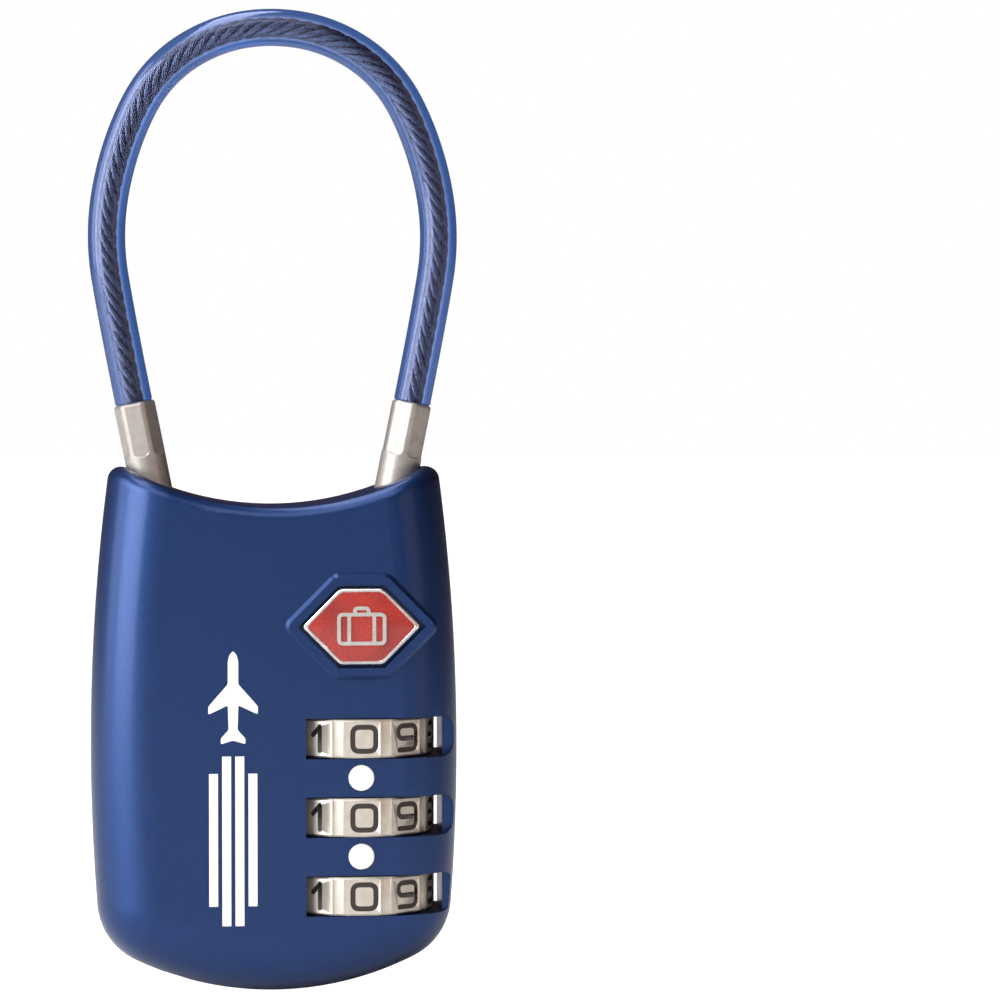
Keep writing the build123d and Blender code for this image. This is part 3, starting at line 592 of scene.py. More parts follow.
def join_loops(form, low, high, material_index=0):
    """Band of faces between two loops with as many vertices."""
    for i in range(len(low)):
        j = (i + 1) % len(low)
        face = form.faces.new((low[i], low[j], high[j], high[i]))
        face.material_index = material_index


def loft(name, rings, materials, round_trip=False, inner_from=None, sharp=35):
    """Skin over rings of points. The ends get a cap each, or meet if it is a round trip.

    Faces from ring number inner_from on take the second material."""
    form = bmesh.new()
    loops = [[form.verts.new(point) for point in ring] for ring in rings]
    pairs = list(zip(loops, loops[1:]))
    if round_trip:
        pairs.append((loops[-1], loops[0]))
    for number, (low, high) in enumerate(pairs):
        join_loops(form, low, high, int(inner_from is not None and number >= inner_from))
    if not round_trip:
        form.faces.new(loops[0][::-1])
        form.faces.new(loops[-1])
    return solid(name, form, materials, sharp)


def merged_copy(node, name, material):
    """Copy of a CAD node whose loose triangles are joined and whose flat faces are whole."""
    mesh = frame["nodes"][node].data.copy()
    mesh.name = name
    mesh.materials.clear()
    mesh.materials.append(material)
    form = bmesh.new()
    form.from_mesh(mesh)
    bmesh.ops.remove_doubles(form, verts=form.verts, dist=SAME_POINT)
    bmesh.ops.dissolve_limit(form, angle_limit=math.radians(0.5), verts=form.verts, edges=form.edges)
    form.to_mesh(mesh)
    form.free()
    return new_object(name, mesh)


def add_modifier(piece, kind, **settings):
    """Puts a modifier on a piece and sets it."""
    modifier = piece.modifiers.new(kind.title(), kind)
    for key, value in settings.items():
        setattr(modifier, key, value)
    return modifier


def apply_modifiers(piece):
    """Makes the modifiers' result the piece's own mesh."""
    bpy.context.view_layer.update()
    shown = piece.evaluated_get(bpy.context.evaluated_depsgraph_get())
    result = bpy.data.meshes.new_from_object(shown)
    piece.modifiers.clear()
    old = piece.data
    piece.data = result
    result.name = piece.name
    bpy.data.meshes.remove(old)
    return piece


def finish_piece(piece, body, slot, *nodes):
    """Rides the piece on its body and hides the CAD nodes that it stands for."""
    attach(piece, body)
    if nodes:
        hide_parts(*nodes)
    return piece


def blend_piece(piece, node):
    """Bakes the piece's place into its mesh and hides the CAD node that it stands for."""
    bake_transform(piece)
    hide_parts(node)


def paint_node(node, material):
    """Gives a CAD node that stays a better finish."""
    for part in frame["nodes"][node].material_slots:
        part.material = material


def rounded(points, radius, closed):
    """Points of a line whose corners are rounded."""
    count = len(points)
    line = []
    for i, corner in enumerate(points):
        if not closed and i in (0, count - 1):
            line.append(corner)
            continue
        before = points[i - 1] - corner
        after = points[(i + 1) % count] - corner
        reach = min(radius, EDGE_SHARE * before.length, EDGE_SHARE * after.length)
        start = corner + before.normalized() * reach
        end = corner + after.normalized() * reach
        for step in range(CORNER_STEPS + 1):
            t = step / CORNER_STEPS
            line.append(start * (1 - t) ** 2 + corner * 2 * t * (1 - t) + end * t**2)
    return line


def on_front(x, z, y=FRONT_FACE_Y):
    """Maps a flat shape onto a plane in front of the case: w stands out of it."""
    return lambda u, v, w: Vector((x + u, y - w, z + v))


def middle_of(node):
    """Middle of a CAD node's box."""
    low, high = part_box(node)
    return (low + high) / 2


# ---------------------------------------------------------------- the pieces


def route_points():
    """Points of the cable's middle line from left to right, on the smooth spline of its route."""
    right = [Vector((x, 0, z)) * MM for x, z in HALF_ROUTE]
    left = [Vector((-p.x, 0, p.z)) for p in right]
    points = left + right[::-1]
    curve = bpy.data.curves.new("cable_route", "CURVE")
    curve.dimensions = "3D"
    curve.resolution_u = ROUTE_STEPS
    spline = curve.splines.new("NURBS")
    spline.points.add(len(points) - 1)
    for target, point in zip(spline.points, points):
        target.co = (*point, 1)
    spline.order_u = 3
    spline.use_endpoint_u = True
    holder = new_object("cable_route", curve)
    bpy.context.view_layer.update()
    line = bpy.data.meshes.new_from_object(holder.evaluated_get(bpy.context.evaluated_depsgraph_get()))
    read = [v.co.copy() for v in line.vertices]
    bpy.data.objects.remove(holder)
    bpy.data.meshes.remove(line)
    return read


def ring_across(points, i, radius):
    """Ring of points square to a line in the XZ plane at its point number i."""
    ahead = points[min(i + 1, len(points) - 1)]
    behind = points[max(i - 1, 0)]
    along = (ahead - behind).normalized()
    out = Vector((along.z, 0, -along.x))
    turns = [2 * math.pi * k / SLEEVE_SIDES for k in range(SLEEVE_SIDES)]
    return [points[i] + out * radius * math.cos(t) + Vector((0, 1, 0)) * radius * math.sin(t) for t in turns]


def ferrule_axis(side):
    """Way up a ferrule: side is -1 for the fixed one on the left and 1 for the free one on the right."""
    return Vector((side * math.sin(FERRULE_LEAN), 0, math.cos(FERRULE_LEAN)))


def lay_rope(tree, material):
    """Lays wires in strands, and strands in a rope round a heart, along a line in the XZ plane."""
    given = tree.given

    def round_profile(radius, sides):
        """Circle that a line is swept with."""
        return tree.node("GeometryNodeCurvePrimitiveCircle", sockets={"Resolution": sides, "Radius": radius})

    line = tree.node("GeometryNodeMeshToCurve", sockets={"Mesh": given("Geometry")})
    line = tree.node(
        "GeometryNodeResampleCurve", {"mode": "LENGTH"}, {"Curve": line, "Length": given("Step")})
    copies = tree.node(
        "GeometryNodeDuplicateElements", {"domain": "SPLINE"},
        {"Geometry": line, "Amount": given("Strands") * given("Wires")})
    number = tree.also(copies, "Duplicate Index")
    strand = tree.maths("FLOOR", (number + 0.5) / given("Wires"))
    wire = number - strand * given("Wires")
    run = tree.node("GeometryNodeSplineParameter", output="Length")
    rope_turn = 2 * math.pi * (run / given("Rope Lay") + strand / given("Strands"))
    strand_turn = 2 * math.pi * (wire / given("Wires") + run / given("Strand Lay"))
    rope_cos = tree.maths("COSINE", rope_turn)
    rope_sin = tree.maths("SINE", rope_turn)
    square = tree.node("ShaderNodeCombineXYZ", sockets={"Y": 1.0})
    out = tree.vectors("CROSS_PRODUCT", tree.node("GeometryNodeInputTangent"), square)
    outward = tree.vectors("ADD", tree.scaled(out, rope_cos), tree.scaled(square, rope_sin))
    around = tree.vectors("SUBTRACT", tree.scaled(square, rope_cos), tree.scaled(out, rope_sin))
    reach = given("Strand Circle") + given("Wire Circle") * tree.maths("COSINE", strand_turn)
    aside = given("Wire Circle") * tree.maths("SINE", strand_turn)
    shift = tree.vectors("ADD", tree.scaled(outward, reach), tree.scaled(around, aside))
    wires = tree.node("GeometryNodeSetPosition", sockets={"Geometry": copies, "Offset": shift})
    wires = tree.swept(wires, round_profile(given("Wire Radius"), sides=5))
    heart = tree.swept(line, round_profile(given("Heart Radius"), sides=8))
    tree.close(tree.node("GeometryNodeJoinGeometry", sockets={0: [wires, heart]}), material)


def through_nodes(name, points, edges, sizes, fill, material):
    """Plain mesh that a geometry node tree makes of lines. fill puts the tree's nodes in it."""
    line = bpy.data.meshes.new(name)
    line.from_pydata(points, edges, [])
    tree = Group(name, sizes)
    fill(tree, material)
    piece = new_object(name, line)
    modifier = piece.modifiers.new(name, "NODES")
    modifier.node_group = tree.tree
    for label, value in sizes.items():
        modifier[tree.identifiers[label]] = value
    return apply_modifiers(piece)


def build_sleeve(cable, points):
    """Clear sleeve with its bore, a little rounded at both ends."""
    drawn_in = 0.08  # of the radius, over the length of the edge
    edge = 0.1 * MM
    outside = [ring_across(points, i, cable.sleeve / 2) for i in range(len(points))]
    left_end = [p.lerp(points[0], drawn_in) for p in outside[0]]
    right_end = [p.lerp(points[-1], drawn_in) for p in outside[-1]]
    outside[0] = [p + ferrule_axis(-1) * edge for p in outside[0]]
    outside[-1] = [p + ferrule_axis(1) * edge for p in outside[-1]]
    outside = [left_end, *outside, right_end]
    bore = [ring_across(points, i, cable.sleeve_bore / 2) for i in reversed(range(len(points)))]
    return loft(
        "cable_sleeve", outside + bore, [clear_blue_vinyl(cable), clear_bore()],
        round_trip=True, inner_from=len(outside))


def build_rope(cable, points):
    """Steel rope whose wires are laid along the route and into both ferrules."""
    tucked = [points[0] - ferrule_axis(-1) * cable.tuck, *points, points[-1] - ferrule_axis(1) * cable.tuck]
    # Three strands side by side are as thick as the rope, and three wires as thick as a strand
    strand_radius = cable.rope / 6
    wire_radius = strand_radius / 3
    steel = worn_metal(
        "rope_steel", (0.42, 0.40, 0.40), (0.26, 0.24, 0.24), roughness=0.17,
        spread=0.08, patch=0.5, depth=0.001)
    rope = through_nodes("cable_rope", tucked, [(i, i + 1) for i in range(len(tucked) - 1)], {
        "Strands": cable.strands,
        "Wires": cable.wires,
        "Rope Lay": cable.rope_lay,
        "Strand Lay": cable.strand_lay,
        "Strand Circle": 2 * strand_radius,
        "Wire Circle": 2 * wire_radius,
        "Wire Radius": wire_radius,
        "Heart Radius": strand_radius,
        "Step": cable.step,
    }, lay_rope, steel)
    smooth(rope.data, degrees=80)
    return rope


def build_cable(settings):
    """The rope of wires and its clear sleeve."""
    cable = settings.cable
    points = route_points()
    sleeve = build_sleeve(cable, points)
    rope = build_rope(cable, points)
    blend_piece(sleeve, "cable_jacket")
    blend_piece(rope, "cable_core")
    tuple(points[0])


def flat_radius(ferrules, theta, down):
    """Radius of a ferrule at an angle and a distance below its top: pressed in where a flat covers it."""
    sixth = math.radians(60)
    half_flat = math.sqrt(ferrules.radius**2 - ferrules.apothem**2)
    off = (theta + sixth / 2) % sixth - sixth / 2
    pressed = ferrules.apothem / math.cos(off)
    if pressed >= ferrules.radius:
        return ferrules.radius
    side_way = ferrules.apothem * math.tan(off) / half_flat
    end = ferrules.crimp - ferrules.foot_round * (1 - math.sqrt(max(0.0, 1 - side_way**2)))
    share = min(1.0, max(0.0, (end - down) / ferrules.fade))
    share = share * share * (3 - 2 * share)
    return ferrules.radius + (pressed - ferrules.radius) * share


def ferrule_rings(ferrules, side, turn, groove):
    """Rings of a ferrule from its tail to its top and down its bore."""
    axis = ferrule_axis(side)
    across = Vector((axis.z, 0, -axis.x))
    depth = Vector((0, 1, 0))
    top = Vector((side * FERRULE_TOP.x, 0, FERRULE_TOP.z))

    def ring(down, radius=None, inset=0.0):
        """Points round the ferrule at a distance below its top."""
        points = []
        for k in range(FERRULE_SIDES):
            theta = 2 * math.pi * k / FERRULE_SIDES
            r = (flat_radius(ferrules, theta - turn, down) if radius is None else radius) - inset
            points.append(top - axis * down + across * r * math.sin(theta) - depth * r * math.cos(theta))
        return points

    rings = [ring(ferrules.length, inset=ferrules.tail), ring(ferrules.length - ferrules.tail)]
    if groove:
        middle = (top.z - ferrules.groove_height) / axis.z
        lower = middle + ferrules.groove_width / 2
        upper = middle - ferrules.groove_width / 2
        floor = ferrules.groove_radius
        rings += [ring(lower), ring(lower, floor), ring(upper, floor), ring(upper)]
    foot = ferrules.crimp + ferrules.fade
    foot_steps = 26
    foot_length = ferrules.fade + ferrules.foot_round + ferrules.fade
    rings.append(ring(foot + 0.3 * MM))
    rings += [ring(foot - foot_length * i / foot_steps) for i in range(foot_steps + 1)]
    rim = ferrules.rim
    rim_steps = 6
    rings.append(ring(rim + 0.2 * MM))
    for i in range(rim_steps + 1):
        t = math.radians(90) * i / rim_steps
        rings.append(ring(rim * (1 - math.sin(t)), inset=rim * (1 - math.cos(t))))
    mouth = 0.1 * MM
    rings += [ring(0, ferrules.bore + mouth), ring(mouth, ferrules.bore)]
    return rings + [ring(ferrules.bore_depth, ferrules.bore)]


def build_ferrules(settings):
    """Two crimped ferrules, the fixed one on the left and the free one on the right."""
    ferrules = settings.ferrules
    steel = worn_metal(
        "brushed_nickel", (0.44, 0.41, 0.38), (0.31, 0.285, 0.26), roughness=0.30, patch=0.7,
        stretch=(0.6, 0.6, 2.5), depth=0.006, metallic=0.62)
    for name, side, turn, body in (
            ("fixed_ferrule", -1, ferrules.left_turn, "case"),
            ("free_ferrule", 1, ferrules.right_turn, "free_end")):
        piece = loft(name + "_crimped", ferrule_rings(ferrules, side, turn, side == 1), [steel], sharp=30)
        finish_piece(piece, body, "ferrule_steel", name)


def round_cap(line, end, near, half):
    """Points round one end of a bar, from its left side to its right as seen from the bar."""
    along = (line[end] - line[near]).normalized()
    out = Vector((-along.y, along.x))
    turns = [math.pi * k / CAP_STEPS for k in range(1, CAP_STEPS)]
    return [line[end] + out * half * math.cos(t) + along * half * math.sin(t) for t in turns]


def stroke_solid(form, line, closed, width, place, low, high):
    """Adds a closed bar along a line of 2-D points to a bmesh."""
    count = len(line)
    half = width / 2
    sides = ([], [])
    for i, point in enumerate(line):
        ahead = line[(i + 1) % count] if closed or i < count - 1 else point
        behind = line[i - 1] if closed or i > 0 else point
        first = (point - behind).normalized()
        second = (ahead - point).normalized()
        along = (first + second).normalized()
        out = Vector((-along.y, along.x))
        turned = out.dot(Vector((-first.y, first.x)))
        stretch = 1 / max(MITRE_LIMIT, turned) if first.length * second.length else 1
        for side, way in zip(sides, (1, -1)):
            side.append(point + out * way * half * stretch)

    def loops(outline):
        """Lower and upper vertices of an outline."""
        return [[form.verts.new(place(p.x, p.y, w)) for p in outline] for w in (low, high)]

    if closed:
        left, right = loops(sides[0]), loops(sides[1])
        walls = [(left[0], left[1]), (left[1], right[1]), (right[1], right[0]), (right[0], left[0])]
    else:
        tail = round_cap(line, -1, -2, half)
        head = round_cap(line, 0, 1, half)
        lower, upper = loops(sides[0] + tail + sides[1][::-1] + head)
        form.faces.new(lower[::-1])
        form.faces.new(upper)
        walls = [(lower, upper)]
    for lower, upper in walls:
        join_loops(form, lower, upper)


def number_solids(dials):
    """Bars of all ten numbers where they cut into a dial whose middle is at the origin."""
    form = bmesh.new()
    scale = Vector((dials.number_width / 2, dials.number_height / 2))
    for number, strokes in enumerate(NUMBER_STROKES):
        facing = math.radians(FRONT_DEGREES - NUMBER_DEGREES * number) + dials.number_turn
        out = Vector((math.cos(facing), math.sin(facing), 0))
        right = Vector((0, 0, 1)).cross(out)

        def place(u, v, w):
            """A point of the number's flat, w out of it."""
            return out * (dials.flat_radius + w) + right * u + Vector((0, 0, v))

        for closed, cell in strokes:
            corners = [Vector((u * scale.x, v * scale.y)) for u, v in cell]
            line = rounded(corners, dials.corner, closed)
            stroke_solid(form, line, closed, dials.stroke, place, -dials.engraving, 3 * dials.engraving)
    return solid("number_solids", form, [], 35)


def ink_disc(node, dials, ink):
    """Ten-sided disc as wide as the ink reaches, where a dial is."""
    low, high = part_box(node)
    centre = middle_of(node)
    radius = (dials.flat_radius - dials.ink_recess) / math.cos(math.pi / len(NUMBER_STROKES))
    corners = [math.radians(FRONT_DEGREES + NUMBER_DEGREES / 2 + NUMBER_DEGREES * k)
               for k in range(len(NUMBER_STROKES))]
    inside = 0.01 * MM
    return loft(node + "_ink", [
        [Vector((centre.x + radius * math.cos(a), centre.y + radius * math.sin(a), z)) for a in corners]
        for z in (low.z + inside, high.z - inside)], [ink])


def build_dials(settings):
    """Three dials with engraved numbers, and the ink in them."""
    dials = settings.dials
    nickel = worn_metal(
        "dial_nickel", (0.68, 0.63, 0.55), (0.52, 0.48, 0.41), roughness=0.30, spread=0.14, patch=0.8,
        stretch=(1, 1, 0.4), metallic=0.62)
    ink = number_ink(dials)
    numbers = number_solids(dials)
    for node in DIAL_NODES:
        body = "dial_body_" + node[-1]
        centre = middle_of(node)
        numbers.data.transform(Matrix.Translation(centre))
        filling = ink_disc(node, dials, ink)
        add_modifier(filling, "BOOLEAN", operation="INTERSECT", object=numbers, solver="EXACT", use_self=True)
        apply_modifiers(filling)
        smooth(filling.data, degrees=30)
        dial = merged_copy(node, node + "_numbered", nickel)
        add_modifier(
            dial, "BEVEL", width=dials.softness, segments=2, limit_method="ANGLE",
            angle_limit=math.radians(25), use_clamp_overlap=True)
        add_modifier(dial, "BOOLEAN", operation="DIFFERENCE", object=numbers, solver="EXACT", use_self=True)
        apply_modifiers(dial)
        smooth(dial.data, degrees=28)
        finish_piece(dial, body, "dial_nickel", node)
        finish_piece(filling, body, "dial_nickel")
        numbers.data.transform(Matrix.Translation(-centre))
    bpy.data.objects.remove(numbers)


def badge_rings(badge, levels):
    """Rings of the six-sided badge: each is drawn in from its edge and stands out of its front face."""
    low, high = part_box("badge_plate")
    half_w = (high.x - low.x) / 2
    half_h = (high.z - low.z) / 2
    half_f = half_w * badge.flat_share
    slant = math.hypot(half_w - half_f, half_h)
    middle = (low + high) / 2
    plane = on_front(middle.x, middle.z, low.y)
    rings = []
    for inset, w in levels:
        tip = half_w - inset * slant / half_h
        top = half_h - inset
        shoulder = tip - top * (half_w - half_f) / half_h
        right = [(shoulder, -top), (tip, 0), (shoulder, top)]
        left = [(-shoulder, top), (-tip, 0), (-shoulder, -top)]
        outline = rounded([Vector(c) for c in right + left], badge.corner, True)
        rings.append([plane(p.x, p.y, w) for p in outline])
    return rings


def build_plate(badge, bright):
    """Bevelled plate with a pocket for the enamel."""
    low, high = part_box("badge_plate")
    back = low.y - high.y
    soft = 0.03 * MM
    plate = loft("badge_plate_bevelled", badge_rings(badge, (
        (0.02 * MM, back),
        (0.0, back + 0.05 * MM),
        (0.0, -badge.bevel),
        (0.3 * badge.bevel, -0.4 * badge.bevel),
        (badge.bevel, 0.0),
        (badge.rim - soft, 0.0),
        (badge.rim, -soft),
        (badge.rim, -badge.pocket),
    )), [bright], sharp=25)
    finish_piece(plate, "case", "badge_metal", "badge_plate")


def build_enamel(badge, enamel):
    """Swelling pool of enamel in the plate's pocket."""
    steps = 10
    reach = 2.6 * MM
    edge = badge.rim + 0.005 * MM
    sunk = 0.05 * MM
    swell = [(edge + reach * i / steps, badge.crown * math.sin(math.pi / 2 * (i / steps)) - sunk)
             for i in range(steps + 1)]
    pool = loft("badge_enamel_pool", badge_rings(badge, [(edge, -badge.pocket), *swell]), [enamel], sharp=50)
    finish_piece(pool, "case", "badge_enamel", "badge_enamel")


def build_suitcase(badge, bright):
    """Small suitcase that is left bare in the enamel, each bar a little lower than the one before it."""
    middle = middle_of("badge_plate")
    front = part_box("badge_plate")[0].y
    half_w = badge.case_width / 2
    half_h = badge.case_height / 2
    grip = 0.3 * half_w
    grip_top = half_h + 0.5 * MM
    strap = 0.55 * half_w
    shapes = (
        (True, ((-half_w, -half_h), (-half_w, half_h), (half_w, half_h), (half_w, -half_h))),
        (False, ((-grip, half_h), (-grip, grip_top), (grip, grip_top), (grip, half_h))),
        (False, ((-strap, -half_h), (-strap, half_h))),
        (False, ((strap, -half_h), (strap, half_h))),
    )
    drop = 0.18 * MM
    root = -0.1 * MM
    highest = badge.crown + 0.03 * MM
    step_down = 0.008 * MM
    place = on_front(middle.x, middle.z - drop, front)
    form = bmesh.new()
    for number, (closed, corners) in enumerate(shapes):
        line = rounded([Vector(c) for c in corners], badge.corner, closed)
        stroke_solid(form, line, closed, badge.line_width, place, root, highest - number * step_down)
    finish_piece(solid("badge_suitcase", form, [bright], 40), "case", "badge_metal")


def build_badge(settings):
    """Badge plate with its enamel and a small suitcase left bare in it."""
    badge = settings.badge
    bright = worn_metal(
        "badge_nickel", (0.86, 0.84, 0.80), (0.66, 0.64, 0.61), roughness=0.16, patch=1.5, depth=0.002)
    build_plate(badge, bright)
    build_enamel(badge, red_enamel(badge))
    build_suitcase(badge, bright)


def build_dots(settings):
    """White index dots between the dials, slightly domed."""
    low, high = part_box("index_dots")
    radius = (high.x - low.x) / 2
    white = white_dot_paint()
    turns = [2 * math.pi * k / DOT_SIDES for k in range(DOT_SIDES)]
    for z, name, nodes in (
            (low.z + radius, "index_dot_1", ("index_dots",)),
            (high.z - radius, "index_dot_2", ())):
        plane = on_front((low.x + high.x) / 2, z, low.y)
        dot = loft(name, [
            [plane(radius * share * math.cos(t), radius * share * math.sin(t), w * MM) for t in turns]
            for share, w in DOT_PROFILE], [white], sharp=60)
        finish_piece(dot, "case", "dot_white", *nodes)


def lay_stripes(tree, material):
    """Draws a flat bar along every line."""
    lines = tree.node("GeometryNodeMeshToCurve", sockets={"Mesh": tree.given("Geometry")})
    bar = tree.node("GeometryNodeCurvePrimitiveQuadrilateral", sockets={
        "Width": tree.given("Stripe Width"), "Height": tree.given("Thickness")})
    tree.close(tree.swept(lines, bar), material)


def build_print(settings):
    """White picture on the front: an aeroplane over its trailing stripes."""
    case = settings.case
    white = white_print(case)
    right = [Vector(p) * MM for p in PLANE_HALF]
    left = [Vector((-p.x, p.y)) for p in reversed(right[1:-1])]
    outline = rounded(right + left, case.plane_corner, True)
    plane = on_front(case.print_left + case.print_width / 2, case.print_top)
    sunk = -0.01 * MM
    aeroplane = loft("print_aeroplane", [
        [plane(p.x, p.y, w) for p in outline] for w in (sunk, case.print_thickness)], [white])
    finish_piece(aeroplane, "case", "case_paint")

    gap = (case.print_width - case.stripe_width) / (case.stripe_count - 1)
    stripes_top = case.print_top + PLANE_HALF[-1][1] * MM - case.tail_gap
    points = []
    for i in range(case.stripe_count):
        x = case.print_left + case.stripe_width / 2 + gap * i
        outer = 1 - min(i, case.stripe_count - 1 - i)
        points.append((x, FRONT_FACE_Y, stripes_top - case.outer_top * outer))
        points.append((x, FRONT_FACE_Y, case.print_bottom + case.outer_bottom * outer))
    edges = [(2 * i, 2 * i + 1) for i in range(case.stripe_count)]
    stripes = through_nodes("print_stripes", points, edges, {
        "Stripe Width": case.stripe_width,
        "Thickness": 2 * case.print_thickness,
    }, lay_stripes, white)
    smooth(stripes.data)
    finish_piece(stripes, "case", "case_paint")


def build_case(settings):
    """Paint on the two halves of the case."""
    paint = satin_blue_paint(settings.case)
    for node in ("front_housing", "rear_housing"):
        paint_node(node, paint)


def build_mechanism(settings):
    """Finishes of everything inside the case and in its bottom."""
    steel = worn_metal("zinc_plated_steel", (0.62, 0.63, 0.66), (0.42, 0.42, 0.44), roughness=0.30)
    spring = worn_metal(
        "drawn_spring_steel", (0.50, 0.50, 0.52), (0.30, 0.30, 0.32), roughness=0.24, patch=0.5)
    zinc = worn_metal(
        "cast_zinc", (0.52, 0.53, 0.55), (0.34, 0.35, 0.37), roughness=0.42, patch=0.6, depth=0.010)
    brass = worn_metal(
        "turned_brass", (0.72, 0.55, 0.24), (0.46, 0.33, 0.13), roughness=0.24, patch=1.0,
        stretch=(1, 1, 3), depth=0.005)
    finishes = {"steel": steel, "spring_steel": spring, "zinc": zinc, "brass_plug": brass}
    for part in frame["record"]["subparts"]:
        if part["material_slot"] in finishes and part["node"] not in COIL_SPRINGS:
            paint_node(part["node"], finishes[part["material_slot"]])
    for node, (pusher, way) in COIL_SPRINGS.items():
        coil = merged_copy(node, node + "_coil", spring)
        smooth(coil.data, degrees=50)
        blend_piece(coil, node)


# ---------------------------------------------------------------- stage


def build_floor(stage):
    """Pale round floor that looks white to the camera."""
    finish = Finish("pale_floor")
    cloud = finish.noise(40.0)
    shade = finish.mix(stage.floor, tuple(0.97 * c for c in stage.floor), cloud)
    seen = finish.node("ShaderNodeLightPath", output="Is Camera Ray")
    matt = finish.principled(base_color=shade, roughness=0.6 + 0.1 * cloud)
    glow = finish.node("ShaderNodeEmission", sockets={"Strength": stage.floor_glow})
    glow_share = 0.8
    finish.surface(finish.layered(matt, glow, seen * glow_share))
    turns = [2 * math.pi * k / FLOOR_SIDES for k in range(FLOOR_SIDES)]
    rim = [(FLOOR_RADIUS * math.cos(t), FLOOR_RADIUS * math.sin(t), 0) for t in turns]
    mesh = bpy.data.meshes.new("floor")
    mesh.from_pydata(rim, [], [list(range(FLOOR_SIDES))])
    mesh.materials.append(finish.material)
    new_object("floor", mesh)


def build_room():
    """World that is white to the camera, and lights the lock from the front left."""
    world = bpy.data.worlds.new("studio")
    bpy.context.scene.world = world
    world.use_nodes = True
    sky = Tree(world.node_tree)
    camera_ray = sky.node("ShaderNodeLightPath", output="Is Camera Ray")
    way = sky.node("ShaderNodeTexCoord", output="Generated")
    side = sky.node("ShaderNodeSeparateXYZ", sockets={0: way})
    level = side * 0.5 + sky.also(side, "Y") * 0.3 - sky.also(side, "Z") * 0.2 + 0.5
    room = sky.mix(ROOM_SHADE, ROOM_LIGHT, sky.ramp(level, ROOM_LEVELS))
    background = sky.node("ShaderNodeBackground", sockets={"Color": sky.mix(room, (1, 1, 1), camera_ray)})
    sky.node("ShaderNodeOutputWorld", sockets={"Surface": background})


def facing_angles(place, aim):
    """Turn of a lamp or camera at a place that looks at an aim."""
    return (Vector(aim) - Vector(place)).to_track_quat("-Z", "Y").to_euler()


def area_light(name, place, aim, size, power, shade):
    """Lamp with a rectangle of light that faces its aim."""
    light = bpy.data.lights.new(name, "AREA")
    light.shape = "RECTANGLE"
    light.size, light.size_y = size
    light.energy = power
    light.color = shade
    lamp = new_object(name, light)
    lamp.location = place
    lamp.rotation_euler = facing_angles(place, aim)


def build_stage(settings):
    """Pale floor, soft light from the left and above, and the camera."""
    stage = settings.stage
    build_floor(stage)
    build_room()
    for lamp in LAMPS:
        area_light(*lamp)
    camera = bpy.data.cameras.new("camera")
    camera.lens = stage.lens
    camera.sensor_width = 36
    holder = new_object("camera", camera)
    holder.location = (
        math.sin(stage.turn) * stage.distance, -math.cos(stage.turn) * stage.distance, stage.height)
    holder.rotation_euler = facing_angles(holder.location, (stage.aim_side, 0, stage.aim_height))
    bpy.context.scene.camera = holder
    bpy.context.scene.view_settings.view_transform = "Standard"


# ---------------------------------------------------------------- operators and panel


class LOCK_OT_stage(bpy.types.Operator):
    """Set out the floor, the lights and the camera"""
    bl_idname = "lock.stage"
    bl_label = "Stage"

    def execute(self, context):
        build_stage(context.scene.lock_settings)
        return {"FINISHED"}


class LOCK_OT_cable(bpy.types.Operator):
    """Lay the rope's wires and draw the sleeve over them"""
    bl_idname = "lock.cable"
    bl_label = "Cable"

    def execute(self, context):
        build_cable(context.scene.lock_settings)
        return {"FINISHED"}


class LOCK_OT_ferrules(bpy.types.Operator):
    """Crimp the two ferrules"""
    bl_idname = "lock.ferrules"
    bl_label = "Ferrules"

    def execute(self, context):
        build_ferrules(context.scene.lock_settings)
        return {"FINISHED"}


class LOCK_OT_case(bpy.types.Operator):
    """Paint the case"""
    bl_idname = "lock.case"
    bl_label = "Case"

    def execute(self, context):
        build_case(context.scene.lock_settings)
        return {"FINISHED"}


class LOCK_OT_print(bpy.types.Operator):
    """Print the picture on the front"""
    bl_idname = "lock.print"
    bl_label = "Print"

    def execute(self, context):
        build_print(context.scene.lock_settings)
        return {"FINISHED"}


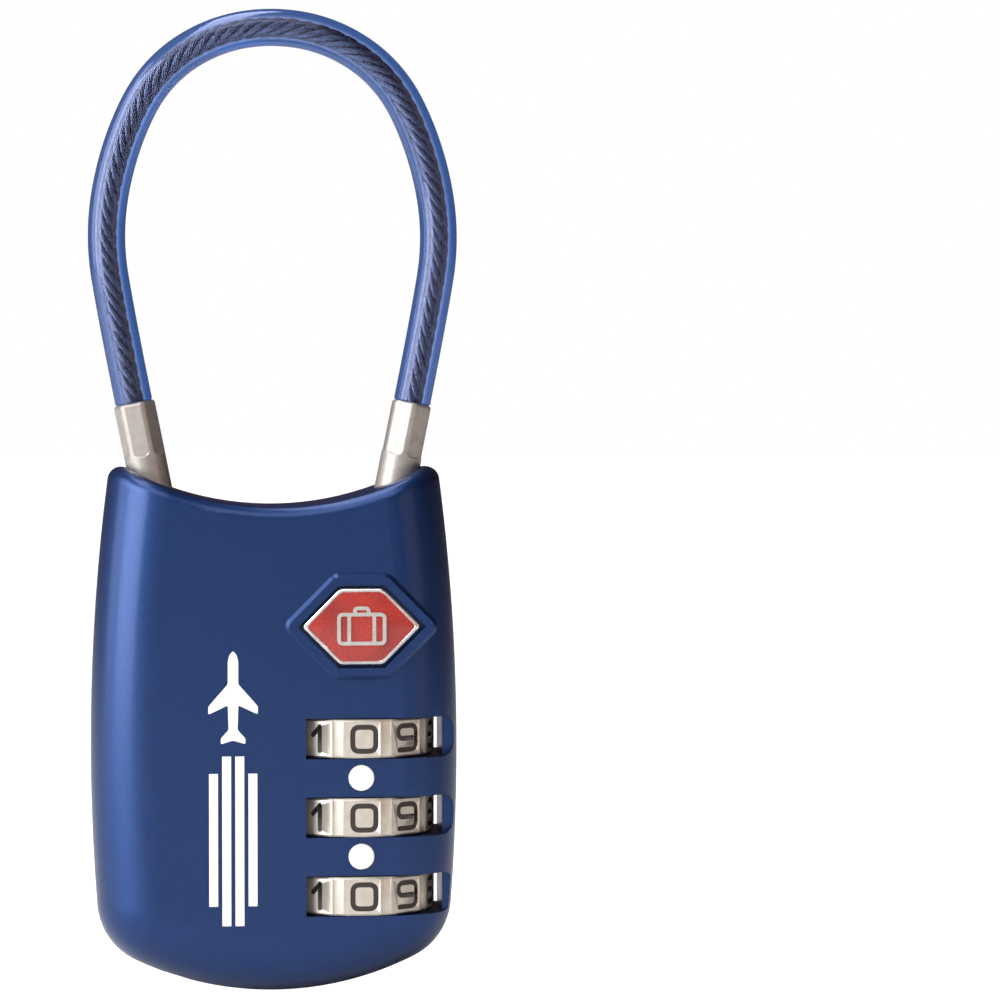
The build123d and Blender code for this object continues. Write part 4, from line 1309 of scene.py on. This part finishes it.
class LOCK_OT_badge(bpy.types.Operator):
    """Make the badge plate, its enamel and its picture"""
    bl_idname = "lock.badge"
    bl_label = "Badge"

    def execute(self, context):
        build_badge(context.scene.lock_settings)
        return {"FINISHED"}


class LOCK_OT_dots(bpy.types.Operator):
    """Set the white index dots"""
    bl_idname = "lock.dots"
    bl_label = "Index Dots"

    def execute(self, context):
        build_dots(context.scene.lock_settings)
        return {"FINISHED"}


class LOCK_OT_dials(bpy.types.Operator):
    """Engrave and ink the dials"""
    bl_idname = "lock.dials"
    bl_label = "Dials"

    def execute(self, context):
        build_dials(context.scene.lock_settings)
        return {"FINISHED"}


class LOCK_OT_mechanism(bpy.types.Operator):
    """Give the parts of the mechanism their finishes"""
    bl_idname = "lock.mechanism"
    bl_label = "Mechanism"

    def execute(self, context):
        build_mechanism(context.scene.lock_settings)
        return {"FINISHED"}


OPERATORS = (
    LOCK_OT_stage,
    LOCK_OT_cable,
    LOCK_OT_ferrules,
    LOCK_OT_case,
    LOCK_OT_print,
    LOCK_OT_badge,
    LOCK_OT_dots,
    LOCK_OT_dials,
    LOCK_OT_mechanism,
)


class LOCK_PT_sidebar(bpy.types.Panel):
    """Buttons that build the lock, in order"""
    bl_idname = "LOCK_PT_sidebar"
    bl_label = "Luggage Lock"
    bl_space_type = "VIEW_3D"
    bl_region_type = "UI"
    bl_category = "Luggage Lock"

    def draw(self, context):
        for operator in OPERATORS:
            self.layout.operator(operator.bl_idname)


CLASSES = (
    CaseSettings,
    BadgeSettings,
    DialSettings,
    FerruleSettings,
    CableSettings,
    StageSettings,
    LockSettings,
    *OPERATORS,
    LOCK_PT_sidebar,
)


def register():
    """Adds the classes and the scene's settings."""
    for item in CLASSES:
        bpy.utils.register_class(item)
    bpy.types.Scene.lock_settings = chapter(LockSettings, "Luggage lock", "Settings of the lock")


def unregister():
    """Takes them away again."""
    del bpy.types.Scene.lock_settings
    for item in reversed(CLASSES):
        bpy.utils.unregister_class(item)


def main():
    """Builds every piece in order."""
    register()
    for operator in OPERATORS:
        getattr(bpy.ops.lock, operator.bl_idname.split(".")[1])()


if __name__ == "__main__":
    main()
